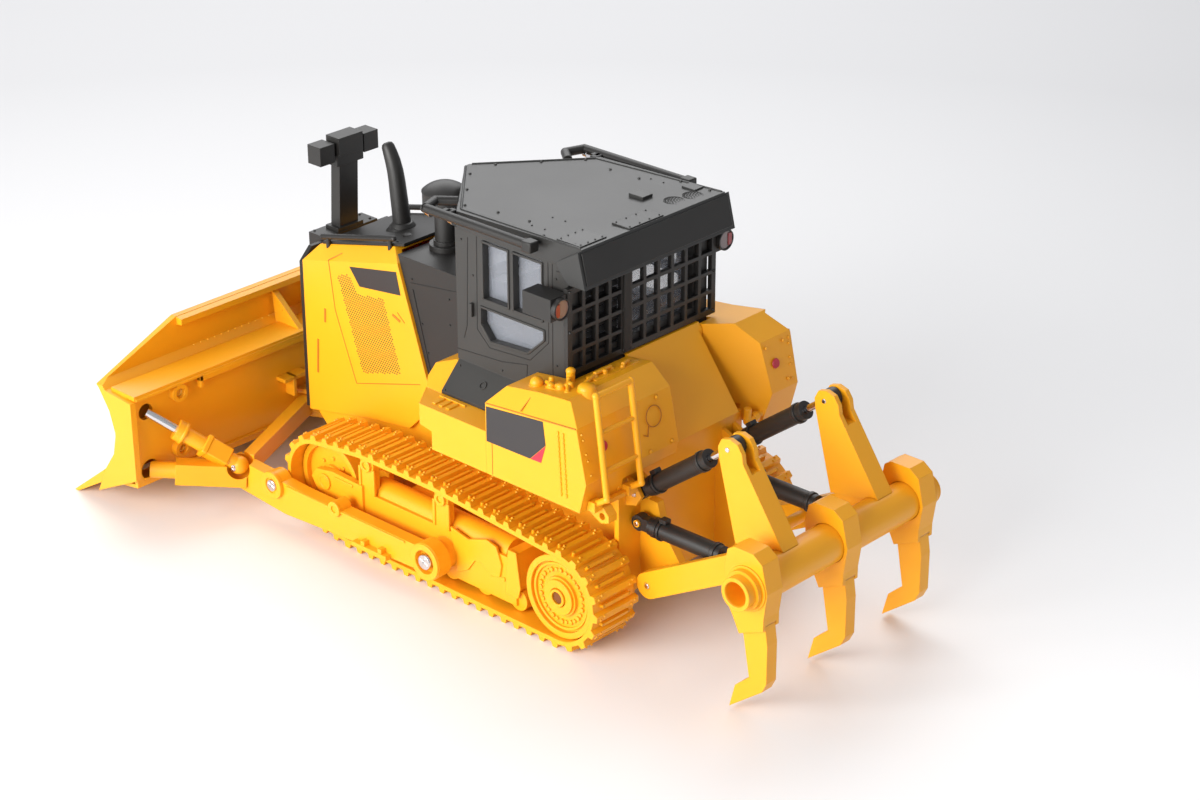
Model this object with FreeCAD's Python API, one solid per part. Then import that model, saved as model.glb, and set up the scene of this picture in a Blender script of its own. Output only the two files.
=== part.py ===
import FreeCAD, Part
import math
import os
from FreeCAD import Vector

# Toy crawler dozer, 1:24.  +X is forward, +Y is left, +Z is up and the ground is Z = 0.
# Lengths are millimetres.  Shapes are drawn about the machine's own datum and moved by
# shift_x at export, so that the frame's origin is the middle of the bounding box's floor.

# ---------------------------------------------------------------- driving dimensions
wall = 1.6                      # moulded shell thickness
sheet = 2.0                     # thicker plates
seat_gap = 0.15                 # gap between seated pieces of one body
run_gap = 0.08                  # radial clearance of a turning fit
side_gap = 0.35                 # side clearance beside a turning piece
open_gap = 0.9                  # radial clearance at the opened linkage pivots

# undercarriage
track_outer_y = 54.5            # outer edge of the shoes
shoe_width = 21.0
pad_thickness = 1.7
grouser_height = 1.8
shoe_count = 55
sprocket_x = -73.0
sprocket_z = 19.5
sprocket_pitch_radius = 16.0    # inner face of the belt at the sprocket
idler_x = 48.5
idler_z = 21.5
idler_radius_at_belt = 15.8
carrier_x = (26.0, -13.0)
carrier_z = 35.6
carrier_radius_at_belt = 4.4
roller_count = 6
roller_front_x = 34.0
roller_rear_x = -50.0
roller_radius = 4.2
belt_gap = 0.45                 # wheel rim to belt
axle_radius = 2.0

# hull and hood
hull_half = 23.0
hull_floor_z = 9.0
hull_top_z = 52.0
hull_rear_x = -80.0
hull_front_x = 83.0
hood_half = 25.0
hood_front_x = 86.0
hood_foot_z = 31.0
hood_front_top_z = 97.0
hood_slope = 0.25               # rise of the hood top per millimetre towards the cab
hood_rear_x = 35.0
hood_chamfer = 5.0
guard_thickness = 1.8
platform_half = 13.5
platform_length = 9.0
platform_drop = 26.0
mast_height = 34.7
stack_bend = (59.5, 0, 125.3)
stack_tip = (63.2, 0, 135.6)
cleaner_axis = (26.0, 7.5)
cleaner_top_z = 134.0
cowl_top_z = 108.2
cowl_foot_z = 62.0

# cab
cab_half = 35.5
cab_front_x = -8.0
cab_nose_x = 17.0
cab_rear_x = -62.0
cab_base_z = 84.0               # underside of the cab's nose, above the kick panels
cab_floor_z = 73.65
cab_top_z = 137.0
cab_wall = 2.4
kick_reach = 9.0                # how far the kick panels lean out at the deck
skirt_half = 38.3               # half width of the roof's rear skirt
lattice_half = 38.0
lattice_low_z = 94.6
lattice_high_z = 127.0
roof_half = 36.3
roof_rear_x = -69.0
roof_front_x = -9.8
roof_nose_x = 21.7
roof_top_z = 142.4
roof_thickness = 3.6
roof_fall = 3.0                 # how far the roof drops from rear to nose
glass_thickness = 0.9

# decks and tanks
deck_half = 55.5
deck_top_z = 73.5
deck_thickness = 2.0
deck_front_x = -8.5
deck_nose_x = 1.5
deck_nose_half = 41.4
deck_skirt_z = 57.5
tie_hole_radius = 1.3
tank_front_x = -41.5
tank_rear_x = -88.6
tank_front_top_z = 84.5
tank_shoulder_z = 91.0
tank_rise = 4.0                 # the tank tops climb towards the rear
tank_left_inner_y = 9.0
tank_right_inner_y = 29.0
tank_under_z = 64.0             # underside of the tanks above the ripper's mounts

# blade and its frame
blade_half = 94.0
blade_flat_half = 56.0
blade_top_z = 67.0
blade_end_z = 51.5
blade_root_x = 117.8            # deepest point of the mouldboard's face
blade_mid_z = 33.2
blade_radius = 22.2
blade_sheet = 2.6
blade_back_x = 110.0
flange_z = 49.4
edge_tip_x = 146.8
trunnion_x = -15.0
trunnion_z = 15.0
trunnion_radius = 7.2
trunnion_pin_radius = 2.6
arm_gap = 0.8                   # push arm to track
arm_thickness = 5.0
arm_height = 11.0
arm_end_y = 85.0
knee_x = 92.0
strut_radius = 3.0
strut_rod_radius = 1.7

# ripper
arm_pivot_x = -96.0
arm_pivot_z = 24.5
beam_pivot_x = -140.0
beam_pivot_z = 49.0
link_pivot_x = -86.0
link_pivot_z = 54.7
tower_pin_x = -127.4
tower_pin_z = 85.8
lift_pivot_x = -86.0
lift_pivot_z = 42.9
lift_eye_x = -137.5
lift_eye_z = 43.4
mount_plate_half = 32.4
cylinder_y = 25.2
ripper_arm_y = 31.4
ripper_arm_thickness = 3.6
ripper_arm_half_height = 4.8
beam_x = -150.5
beam_z = 49.6
beam_radius = 7.0
beam_half = 48.0
shank_y = 41.5
shank_thickness = 5.0
collar_width = 8.0
tower_half = 4.0
eye_half = 1.8
barrel_radius = 3.3
rod_radius = 1.35
pin_radius = 1.3

# inside
battery_x0 = -34.0
battery_x1 = 20.0
battery_half = 20.4
switch_x = 34.0
cell_radius = 7.0
cell_length = 49.0
motor_radius = 7.6
motor_length = 24.0
screw_radius = 1.6
shaft_hole_radius = 3.4         # drive shafts' way out through the hull

belt_inner_y = track_outer_y - shoe_width
belt_mid_y = track_outer_y - shoe_width / 2
arm_inner_y = track_outer_y + arm_gap
arm_outer_y = arm_inner_y + arm_thickness
rear_extreme_x = -160.6
shift_x = -(edge_tip_x + rear_extreme_x) / 2

shapes = {}


# ---------------------------------------------------------------- helpers
def box(x0, x1, y0, y1, z0, z1):
    return Part.makeBox(x1 - x0, y1 - y0, z1 - z0, Vector(x0, y0, z0))


def prism_y(points, y0, y1):
    wire = Part.makePolygon([Vector(x, y0, z) for x, z in points + points[:1]])
    return Part.Face(wire).extrude(Vector(0, y1 - y0, 0))


def prism_x(points, x0, x1):
    wire = Part.makePolygon([Vector(x0, y, z) for y, z in points + points[:1]])
    return Part.Face(wire).extrude(Vector(x1 - x0, 0, 0))


def prism_z(points, z0, z1):
    wire = Part.makePolygon([Vector(x, y, z0) for x, y in points + points[:1]])
    return Part.Face(wire).extrude(Vector(0, 0, z1 - z0))


def rod_y(x, z, radius, y0, y1):
    return Part.makeCylinder(radius, y1 - y0, Vector(x, y0, z), Vector(0, 1, 0))


def tube_between(start, end, radius):
    a = Vector(*start)
    b = Vector(*end)
    return Part.makeCylinder(radius, (b - a).Length, a, b - a)


def bar_between(start, end, width, height):
    """A square bar whose width lies level and whose height stands up."""
    a = Vector(*start)
    b = Vector(*end)
    along = (b - a).normalize()
    side = Vector(0, 0, 1).cross(along).normalize()
    up = along.cross(side)
    corner = a - side * (width / 2) - up * (height / 2)
    ring = [corner, corner + side * width, corner + side * width + up * height, corner + up * height]
    return Part.Face(Part.makePolygon(ring + ring[:1])).extrude(b - a)


def join(parts):
    result = parts[0].fuse(parts[1:]) if len(parts) > 1 else parts[0]
    return result.removeSplitter()


def cut(shape, parts):
    for part in parts:
        shape = shape.cut(part)
    return shape


def mirrored(shape):
    return shape.mirror(Vector(0, 0, 0), Vector(0, 1, 0))


def pair(shape):
    return Part.makeCompound([shape, mirrored(shape)])


def both_sides(name, shape):
    shapes[name + "_left"] = shape
    shapes[name + "_right"] = mirrored(shape)


def swept_x(points, x0, x1, rise):
    """A profile in Y and Z carried along X while it climbs by rise."""
    wire = Part.makePolygon([Vector(x0, y, z) for y, z in points + points[:1]])
    return Part.Face(wire).extrude(Vector(x1 - x0, 0, rise))


# ---------------------------------------------------------------- track loop
def loop_circles():
    ground = grouser_height + pad_thickness
    circles = [(sprocket_x, sprocket_z, sprocket_pitch_radius)]
    circles += [(x, carrier_z, carrier_radius_at_belt) for x in carrier_x]
    circles += [(idler_x, idler_z, idler_radius_at_belt)]
    circles += [(roller_front_x, ground + roller_radius, roller_radius)]
    circles += [(roller_rear_x, ground + roller_radius, roller_radius)]
    return circles


def loop_support(angle):
    nx = math.cos(angle)
    nz = math.sin(angle)
    best = max(loop_circles(), key=lambda c: c[0] * nx + c[1] * nz + c[2])
    return best, nx, nz


def loop_path(steps=720):
    """Points of the belt's inner face with their outward directions and running length."""
    points = []
    for i in range(steps + 1):
        (cx, cz, radius), nx, nz = loop_support(2 * math.pi * i / steps)
        points.append((cx + radius * nx, cz + radius * nz, nx, nz))
    lengths = [0.0]
    for a, b in zip(points, points[1:]):
        lengths.append(lengths[-1] + math.hypot(b[0] - a[0], b[1] - a[1]))
    return points, lengths


def loop_at(distance, points, lengths):
    distance = distance % lengths[-1]
    index = 0
    while lengths[index + 1] < distance:
        index += 1
    span = lengths[index + 1] - lengths[index]
    t = (distance - lengths[index]) / span if span else 0.0
    a = points[index]
    b = points[index + 1]
    return [p + (q - p) * t for p, q in zip(a, b)]


def offset_point(place, offset):
    x, z, nx, nz = place
    return (x + nx * offset, z + nz * offset)


def make_track():
    points, lengths = loop_path()
    pitch = lengths[-1] / shoe_count
    outer = []
    for i in range(shoe_count):
        for part, height in ((0.06, pad_thickness), (0.42, pad_thickness),
                             (0.52, pad_thickness + grouser_height),
                             (0.82, pad_thickness + grouser_height), (0.92, pad_thickness)):
            outer.append(offset_point(loop_at((i + part) * pitch, points, lengths), height))
    inner = []
    for i in range(shoe_count * 3):
        inner.append(offset_point(loop_at(i * pitch / 3, points, lengths), 0.0))
    belt = prism_y(outer, belt_inner_y, track_outer_y)
    return belt.cut(prism_y(inner, belt_inner_y - 1, track_outer_y + 1))


def wheel(x, z, radius, y0, y1, recess, bolts, bolt_ring):
    """A wheel with a dished outer face, a ring of bolt heads and an axle bore."""
    body = rod_y(x, z, radius, y0, y1)
    body = body.cut(rod_y(x, z, radius - 2.2, y1 - recess, y1 + 1))
    body = body.cut(rod_y(x, z, radius - 2.2, y0 - 1, y0 + recess))
    hub = rod_y(x, z, bolt_ring - 2.4, y0, y1 - 0.4)
    body = body.fuse(hub)
    for i in range(bolts):
        angle = 2 * math.pi * i / bolts
        bx = x + bolt_ring * math.cos(angle)
        bz = z + bolt_ring * math.sin(angle)
        body = body.fuse(rod_y(bx, bz, 0.75, y1 - recess - 0.5, y1 - recess + 0.6))
    return body.cut(rod_y(x, z, axle_radius + run_gap, y0 - 1, y1 + 1))


frame_inner_y = belt_inner_y + 3.0
frame_outer_y = track_outer_y - 4.0


def make_track_frame():
    inner = frame_inner_y
    outer = frame_outer_y
    z_low = grouser_height + pad_thickness + 2 * roller_radius + belt_gap - 0.8
    body = box(-46.0, 30.0, inner, outer, z_low, 24.0)
    spine = Part.makeCylinder(5.2, 70.0, Vector(-44.0, belt_mid_y, 23.0), Vector(1, 0, 0))
    parts = [body, spine]
    # front fork that carries the idler axle
    yoke = [(28.0, 15.0), (28.0, 26.5), (44.0, 27.0), (53.0, 25.5), (56.0, 21.5), (53.0, 17.0), (44.0, 15.0)]
    for y0, y1 in ((inner - 1.0, inner + 1.4), (outer - 1.4, outer + 1.0)):
        parts.append(prism_y(yoke, y0, y1))
    # rear guard ahead of the sprocket
    guard = [(-46.0, z_low), (-46.0, 27.0), (-50.5, 27.0), (-52.5, 14.0), (-51.0, z_low)]
    parts.append(prism_y(guard, inner, outer))
    # posts that carry the upper rollers
    for x in carrier_x:
        parts.append(box(x - 3.4, x + 3.4, outer - 3.0, outer, 22.0, carrier_z + 1.4))
        parts.append(rod_y(x, carrier_z, 2.6, outer - 3.0, outer + 0.6))
    # roller guards, with the lower rollers moulded between them
    rollers = [roller_front_x + (roller_rear_x - roller_front_x) * i / (roller_count - 1)
               for i in range(roller_count)]
    z_roller = grouser_height + pad_thickness + roller_radius + belt_gap
    for x in rollers:
        parts.append(rod_y(x, z_roller, roller_radius, inner + 1.0, outer - 1.0))
    skirt = [(roller_front_x + 3, 6.0), (roller_front_x + 3, z_low + 1), (roller_rear_x, z_low + 1),
             (roller_rear_x, 6.0)]
    parts.append(prism_y(skirt, outer - 1.2, outer))
    parts.append(prism_y(skirt, inner, inner + 1.2))
    # arms that join the frame to the hull
    for x in (-34.0, 12.0):
        parts.append(box(x - 7.0, x + 7.0, hull_half, inner + 1.0, 14.0, 23.0))
    # trunnion boss that the push arm turns on
    parts.append(rod_y(trunnion_x, trunnion_z, trunnion_radius - 1.4, outer - 1.0, arm_inner_y - side_gap))
    parts.append(rod_y(trunnion_x, trunnion_z, trunnion_pin_radius, outer, arm_outer_y - 1.4))
    frame = join(parts)
    bore = rod_y(idler_x, idler_z, axle_radius, inner - 2, outer + 2)
    frame = frame.fuse(rod_y(idler_x, idler_z, axle_radius, inner - 1.0, outer + 1.6))
    gap_box = box(31.0, 70.0, inner + 1.4, outer - 1.4, 10.0, 40.0)
    gap_box = gap_box.cut(bore)
    return frame.cut(gap_box)


def make_undercarriage():
    both_sides("track", make_track())
    both_sides("track_frame", make_track_frame())
    rim = sprocket_pitch_radius - belt_gap
    y0 = frame_inner_y - 1.0
    y1 = track_outer_y - 1.6
    sprocket = wheel(sprocket_x, sprocket_z, rim, y0, y1, 1.6, 14, 9.8)
    both_sides("sprocket", sprocket)
    y0 = frame_inner_y + 1.4 + side_gap
    y1 = frame_outer_y - 1.4 - side_gap
    both_sides("idler", wheel(idler_x, idler_z, idler_radius_at_belt - belt_gap, y0, y1, 2.0, 8, 7.6))
    for name, x in zip(("carrier_front", "carrier_rear"), carrier_x):
        roller = rod_y(x, carrier_z, carrier_radius_at_belt - belt_gap, frame_inner_y + 1,
                       frame_outer_y - 3.0 - side_gap)
        roller = roller.cut(rod_y(x, carrier_z, 1.2 + run_gap, frame_outer_y - 10.0, frame_outer_y))
        both_sides(name, roller)
    pins = [rod_y(x, carrier_z, 1.2, frame_outer_y - 9.5, frame_outer_y - 2.5) for x in carrier_x]
    for side in ("left", "right"):
        frame = shapes["track_frame_" + side]
        for pin in pins:
            frame = frame.fuse(pin if side == "left" else mirrored(pin))
        shapes["track_frame_" + side] = frame


# ---------------------------------------------------------------- hull
def make_hull():
    outline = [(hull_rear_x, hull_floor_z + 4), (hull_rear_x + 6, hull_floor_z), (62.0, hull_floor_z),
               (hull_front_x, hood_foot_z - 2), (hull_front_x, hull_top_z), (hull_rear_x, hull_top_z)]
    inner = [(hull_rear_x + sheet, hull_floor_z + 5), (hull_rear_x + 7, hull_floor_z + sheet),
             (61.0, hull_floor_z + sheet), (hull_front_x - sheet, hood_foot_z - 1),
             (hull_front_x - sheet, hull_top_z + 1), (hull_rear_x + sheet, hull_top_z + 1)]
    hull = prism_y(outline, -hull_half, hull_half)
    hull = hull.cut(prism_y(inner, -hull_half + sheet, hull_half - sheet))
    # battery opening in the floor and the switch slot beside it
    hull = hull.cut(box(battery_x0, battery_x1, -battery_half, battery_half, hull_floor_z - 1, hull_floor_z + 3))
    hull = hull.cut(box(switch_x - 5, switch_x + 5, -2.4, 2.4, hull_floor_z - 1, hull_floor_z + 3))
    hull = hull.cut(rod_y(sprocket_x, sprocket_z, shaft_hole_radius, -hull_half - 1, hull_half + 1))
    shapes["hull"] = hull.removeSplitter()


def make_inside():
    z0 = hull_floor_z + sheet + 0.3
    # cells lie along X, side by side, in a box that the cover closes
    tray_top = z0 + 2 * cell_radius + 1.6
    tray = box(battery_x0 - 1.4, battery_x1 + 1.4, -battery_half - 0.4, battery_half + 0.4, z0, tray_top)
    tray = tray.cut(box(battery_x0, battery_x1, -battery_half + 0.6, battery_half - 0.6, z0 - 1, tray_top - 1.2))
    shapes["battery_box"] = tray
    reach = (battery_half - 0.6) / 3
    radius = min(cell_radius, reach - 0.1)
    cells = []
    for i in range(3):
        y = (i - 1) * 2 * reach
        x0 = battery_x0 + 1.5
        cell = Part.makeCylinder(radius, cell_length, Vector(x0, y, z0 + radius + 0.6), Vector(1, 0, 0))
        cap = Part.makeCylinder(2.4, 1.2, Vector(x0 + cell_length, y, z0 + radius + 0.6), Vector(1, 0, 0))
        cells.append(cell.fuse(cap))
    shapes["battery_cells"] = Part.makeCompound(cells)
    cover = box(battery_x0 + seat_gap, battery_x1 - seat_gap, -battery_half + seat_gap,
                battery_half - seat_gap, hull_floor_z, hull_floor_z + 1.8)
    shapes["battery_cover"] = cover
    board = box(-30.0, 16.0, -19.0, 19.0, tray_top + 3.0, tray_top + 4.4)
    chips = [box(-20.0, -10.0, -6.0, 4.0, tray_top + 4.4, tray_top + 6.0),
             box(2.0, 10.0, 4.0, 14.0, tray_top + 4.4, tray_top + 8.4),
             Part.makeCylinder(2.5, 7.0, Vector(-2.0, -12.0, tray_top + 4.4))]
    posts = [Part.makeCylinder(1.6, 3.0, Vector(x, y, tray_top)) for x in (-27, 13) for y in (-16, 16)]
    shapes["circuit_board"] = join([board] + chips + posts)
    make_drives(z0)


def gear_case(x0, x1, y0, y1, z0, z1, motor_start, motor_dir, radius=motor_radius):
    case = box(x0, x1, y0, y1, z0, z1)
    motor = Part.makeCylinder(radius, motor_length, Vector(*motor_start), Vector(*motor_dir))
    return case.fuse(motor)


def make_drives(z0):
    # two drive units, each with its shaft out to a sprocket
    case = gear_case(sprocket_x - 4.5, sprocket_x + 12.0, 2.0, hull_half - sheet - 0.3, z0 + 3.2, 30.0,
                     (sprocket_x + 11.0, 10.6, z0 + 8.4), (1, 0, 0))
    shaft = rod_y(sprocket_x, sprocket_z, axle_radius, hull_half - sheet - 1.0, track_outer_y - 2.6)
    collar = rod_y(sprocket_x, sprocket_z, 3.2, hull_half - sheet - 1.0, frame_inner_y - 1.0 - side_gap)
    shapes["drive_units"] = pair(join([case, shaft, collar]))
    # blade lift unit in the nose
    case = box(52.0, 78.0, -9.0, 9.0, 34.0, 50.0)
    motor = Part.makeCylinder(motor_radius, motor_length, Vector(52.5, 0, 42.0), Vector(-1, 0, 0))
    shapes["blade_lift_unit"] = case.fuse(motor)
    # ripper lift unit above the drive units
    case = box(hull_rear_x + sheet + 0.3, -58.0, -9.0, 9.0, 32.0, 50.0)
    motor = Part.makeCylinder(motor_radius, motor_length - 6, Vector(-58.5, 0, 42.0), Vector(1, 0, 0))
    shapes["ripper_lift_unit"] = case.fuse(motor)
    knob = box(switch_x - 1.5, switch_x + 1.5, -1.5, 1.5, hull_floor_z - 1.0, hull_floor_z + 2.6)
    slider = box(switch_x - 3.0, switch_x + 3.0, -3.4, 3.4, hull_floor_z + 2.3, hull_floor_z + 3.6)
    shapes["switch_slider"] = knob.fuse(slider)
    body = box(switch_x - 8.0, switch_x + 8.0, -5.0, 5.0, hull_floor_z + sheet, hull_floor_z + 9.0)
    hollow = box(switch_x - 6.0, switch_x + 6.0, -3.8, 3.8, hull_floor_z, hull_floor_z + 4.2)
    shapes["switch_body"] = body.cut(hollow)


# ---------------------------------------------------------------- hood
def hood_z(x):
    return hood_front_top_z + (hood_front_x - x) * hood_slope


def hood_solid(inset):
    half = hood_half - inset
    front = hood_front_x - inset
    lift = inset
    outline = [(front, hood_foot_z - 1 + (0 if inset == 0 else -2)), (front, hood_z(front) - lift),
               (hood_rear_x, hood_z(hood_rear_x) - lift), (19.5, 62.0), (24.0, 46.0), (30.0, 40.0),
               (52.0, hood_foot_z + 6)]
    if inset:
        outline[2] = (hood_rear_x - 3, hood_z(hood_rear_x - 3) - lift)
        outline[3] = (15.0, 62.0)
        outline[4] = (15.0, 30.0)
        outline[5] = (40.0, 30.0)
        outline[6] = (52.0, 28.0)
    body = prism_y(outline, -half, half)
    top = [e for e in body.Edges if abs(e.CenterOfMass.z - (hood_z(e.CenterOfMass.x) - lift)) < 0.3
           and e.Length > 30]
    return body.makeChamfer(hood_chamfer, top)


def make_hood():
    shell = hood_solid(0).cut(hood_solid(wall))
    # the black top plate lies in a seat between the yellow sides
    x0 = hood_rear_x + 0.4
    x1 = hood_front_x - 6.0
    half = hood_half - hood_chamfer - 0.4
    plate = [(x0, hood_z(x0) + 1.1), (x1, hood_z(x1) + 1.1), (x1, hood_z(x1)), (x0, hood_z(x0))]
    ledge = 3.0
    opening = [(x0 + ledge, hood_z(x0) + 4.0), (x1 - ledge, hood_z(x1) + 4.0),
               (x1 - ledge, hood_z(x1) - 4.0), (x0 + ledge, hood_z(x0) - 4.0)]
    shell = shell.cut(prism_y(opening, -half + ledge, half - ledge))
    shapes["hood_top"] = prism_y(plate, -half, half)
    shapes["hood"] = shell.removeSplitter()
    # radiator guard with its bars, and the platform that the lamp mast stands on
    x0 = hood_front_x
    x1 = x0 + guard_thickness
    top = hood_z(hood_front_x) - 1.0
    half = hood_half
    face = [(-half, hood_foot_z), (half, hood_foot_z), (half, top - hood_chamfer), (half - hood_chamfer, top),
            (-half + hood_chamfer, top), (-half, top - hood_chamfer)]
    guard = prism_x(face, x0, x1)
    platform_top = hood_front_top_z + 0.4
    guard = guard.fuse(box(x0, x0 + platform_length, -platform_half, platform_half,
                           platform_top - platform_drop, platform_top))
    for i in range(7):
        z = hood_foot_z + 6 + i * 5.2
        guard = guard.fuse(box(x1 - 0.5, x1 + 1.2, -half + 5, half - 5, z, z + 2.4))
    shapes["radiator_guard"] = guard.removeSplitter()
    make_hood_fittings(platform_top)


def make_hood_fittings(platform_top):
    x = hood_front_x + 3.6
    z0 = platform_top
    z1 = z0 + mast_height
    post = [(x - 2.4, z0), (x + 2.6, z0), (x + 0.4, z1), (x - 4.2, z1)]
    mast = prism_y(post, -4.6, 4.6)
    head = [(x - 5.6, z1 - 4.0), (x + 1.6, z1 - 4.0), (x + 1.6, z1 + 3.2), (x - 5.6, z1 + 3.2)]
    parts = [mast, prism_y(head, -6.0, 6.0), box(x - 4.8, x + 2.0, -6.6, 6.6, z1 - 8.0, z1 - 3.6)]
    for y in (11.0, -11.0):
        parts.append(box(x - 4.6, x + 2.4, y - 3.6, y + 3.6, z1 - 5.9, z1 + 1.5))
        parts.append(box(x - 3.0, x + 0.4, min(y, 0), max(y, 0), z1 - 3.6, z1))
    parts.append(box(x - 3.4, x + 3.6, -6.4, 6.4, z0, z0 + 1.4))
    shapes["lamp_mast"] = join(parts)
    # exhaust stack: flanged foot, leaning pipe and a forward-swept mouth
    x = 57.0
    foot = hood_z(x) + 1.1
    pipe = tube_between((x, 0, foot - 0.6), stack_bend, 3.3)
    flange = Part.makeCone(6.8, 3.6, 3.4, Vector(x, 0, foot - 0.6), Vector(0, 0, 1))
    below = [(x - 15, hood_z(x - 15) + 1.1), (x + 15, hood_z(x + 15) + 1.1), (x + 15, 80), (x - 15, 80)]
    base = join([pipe, flange]).cut(prism_y(below, -15, 15))
    mouth = tube_between(stack_bend, stack_tip, 3.3)
    knuckle = Part.makeSphere(3.32, Vector(*stack_bend))
    bore = tube_between(stack_bend, tuple(2 * t - b for t, b in zip(stack_tip, stack_bend)), 2.6)
    shapes["exhaust_stack"] = join([base, knuckle, mouth]).cut(bore)
    # pre-cleaner on the cowl: foot, stem, bowl and domed cap
    x, y = cleaner_axis
    z0 = cowl_top_z
    z1 = cleaner_top_z
    stem = Part.makeCylinder(4.0, z1 - 8.0 - z0, Vector(x, y, z0))
    foot = Part.makeCylinder(6.2, 2.0, Vector(x, y, z0))
    bowl = Part.makeCylinder(8.2, 5.0, Vector(x, y, z1 - 8.5))
    dome = Part.makeSphere(12.0, Vector(x, y, z1 - 12.0))
    dome = dome.common(Part.makeCylinder(8.4, 20.0, Vector(x, y, z1 - 3.8)))
    shapes["pre_cleaner"] = join([stem, foot, bowl, dome])
    # hood handrails
    y = hood_half - hood_chamfer + 0.4
    rail_z = 3.2
    a = (79.0, y, hood_z(79.0) + rail_z)
    b = (40.0, y, hood_z(40.0) + rail_z)
    rail = [tube_between(a, b, 1.1), Part.makeSphere(1.12, Vector(*a)), Part.makeSphere(1.12, Vector(*b))]
    for x in (76.0, 42.0):
        rail.append(tube_between((x, y, hood_z(x) + rail_z), (x, y, hood_z(x) - 1.2), 0.9))
    rails = join(rail).cut(shapes["hood"]).cut(shapes["hood_top"])
    shapes["hood_handrails"] = pair(rails)


# ---------------------------------------------------------------- cab
def cab_plan(inset, nose=0.0):
    half = cab_half - inset
    return [(cab_rear_x + inset, -half), (cab_front_x - inset * 0.4, -half),
            (cab_nose_x - inset * 1.3 + nose, -4.0), (cab_nose_x - inset * 1.3 + nose, 4.0),
            (cab_front_x - inset * 0.4, half), (cab_rear_x + inset, half)]


door_windows = (
    # x0, x1, z0, z1 of the openings in each side of the cab
    (-33.5, -21.8, 111.0, 132.6),
    (-49.6, -36.4, 111.0, 132.6),
)
low_window = [(-20.5, 107.1), (-20.5, 101.0), (-24.9, 95.7), (-42.6, 97.0), (-50.3, 104.0), (-50.3, 107.1)]


def side_window_cutter():
    cutters = []
    for x0, x1, z0, z1 in door_windows:
        cutters.append(box(x0, x1, -cab_half - 5, cab_half + 5, z0, z1))
    cutters.append(prism_y(low_window, -cab_half - 5, cab_half + 5))
    return cutters


def front_window_cutters():
    """Windscreen openings in the two slanted front faces."""
    cutters = []
    dx = cab_nose_x - cab_front_x
    dy = cab_half - 4.0
    length = math.hypot(dx, dy)
    ux = dx / length
    uy = -dy / length
    nx = -uy
    ny = ux
    for sign in (1, -1):
        corners = []
        for s, d in ((3.5, -6.0), (length - 2.5, -6.0), (length - 2.5, 6.0), (3.5, 6.0)):
            corners.append((cab_front_x + ux * s + nx * d, sign * (cab_half + uy * s + ny * d)))
        if sign < 0:
            corners.reverse()
        cutters.append(prism_z(corners, 112.0, 132.6))
    return cutters


def cab_top():
    return cab_top_z - roof_fall


def kick_panel():
    """Slanted panel from the cab's side out to the deck."""
    profile = [(cab_half - cab_wall, cab_base_z), (cab_half, cab_base_z), (cab_half + kick_reach, cab_floor_z + 1),
               (cab_half + kick_reach, cab_floor_z), (cab_half - cab_wall, cab_floor_z)]
    return prism_x(profile, tank_front_x + seat_gap, deck_front_x)


def make_cab():
    ceiling = cab_top() - 1.0
    body = prism_z(cab_plan(0), cab_base_z, cab_top())
    lower = box(cab_rear_x, deck_front_x, -cab_half, cab_half, cab_floor_z, cab_base_z + 1)
    body = join([body, lower, kick_panel(), mirrored(kick_panel())])
    room = prism_z(cab_plan(cab_wall), cab_base_z + cab_wall, ceiling)
    well = box(cab_rear_x + cab_wall, deck_front_x - cab_wall, -cab_half + cab_wall, cab_half - cab_wall,
               cab_floor_z + 2, cab_base_z + 4)
    body = body.cut(room).cut(well)
    body = cut(body, side_window_cutter() + front_window_cutters())
    # rear window opening behind the lattice, then the seat for the cowl
    body = body.cut(box(cab_rear_x - 2, cab_rear_x + 6, -28, 28, 99.0, 124.0))
    shapes["cab"] = body.cut(cowl_solid(seat_gap)).removeSplitter()
    shapes["cowl"] = cowl_solid(0).cut(cowl_hollow())
    make_glass()
    make_roof()
    make_cab_fittings()


def cowl_solid(grow):
    rear = deck_nose_x + seat_gap - grow
    lean = (hood_rear_x - 19.5) / (hood_z(hood_rear_x) - 62.0)
    front = hood_rear_x - (hood_z(hood_rear_x) - cowl_top_z) * lean - seat_gap + grow
    outline = [(front, cowl_top_z + grow), (19.5 - seat_gap, cowl_foot_z - grow), (rear, cowl_foot_z - grow),
               (rear, cowl_top_z + grow)]
    body = prism_y(outline, -hood_half + 1.2 - grow, hood_half - 1.2 + grow)
    post = box(rear, 17.0, -20.0, 20.0, hull_top_z + seat_gap, cowl_foot_z + 2)
    return body.fuse(post)


def cowl_hollow():
    rear = deck_nose_x + seat_gap + wall
    outline = [(hood_rear_x + 3, cowl_top_z - wall), (18.0, 64.0), (rear, 64.0), (rear, cowl_top_z - wall)]
    return prism_y(outline, -hood_half + 1.2 + wall, hood_half - 1.2 - wall)


def make_glass():
    top = cab_top() - 1.3
    inner = cab_half - cab_wall - seat_gap
    side = box(-52.0, -19.0, inner - glass_thickness, inner, 94.0, top)
    x = cab_rear_x + cab_wall + seat_gap
    back = box(x, x + glass_thickness, -29.0, 29.0, 97.5, 126.0)
    # the windscreen follows the two slanted faces above the cowl
    low = cowl_top_z + 1.0
    screen = prism_z(cab_plan(cab_wall + seat_gap), low, top)
    screen = screen.cut(prism_z(cab_plan(cab_wall + seat_gap + glass_thickness), low - 1, top + 1))
    screen = screen.common(box(cab_front_x + 2.0, 40, -cab_half, cab_half, low, top))
    shapes["cab_glass"] = Part.makeCompound([side, mirrored(side), back] + screen.Solids)


def roof_plan(grow):
    half = roof_half + grow
    return [(roof_rear_x - grow, -half), (roof_front_x, -half), (roof_nose_x + grow, -1.2),
            (roof_nose_x + grow, 1.2), (roof_front_x, half), (roof_rear_x - grow, half)]


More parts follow.
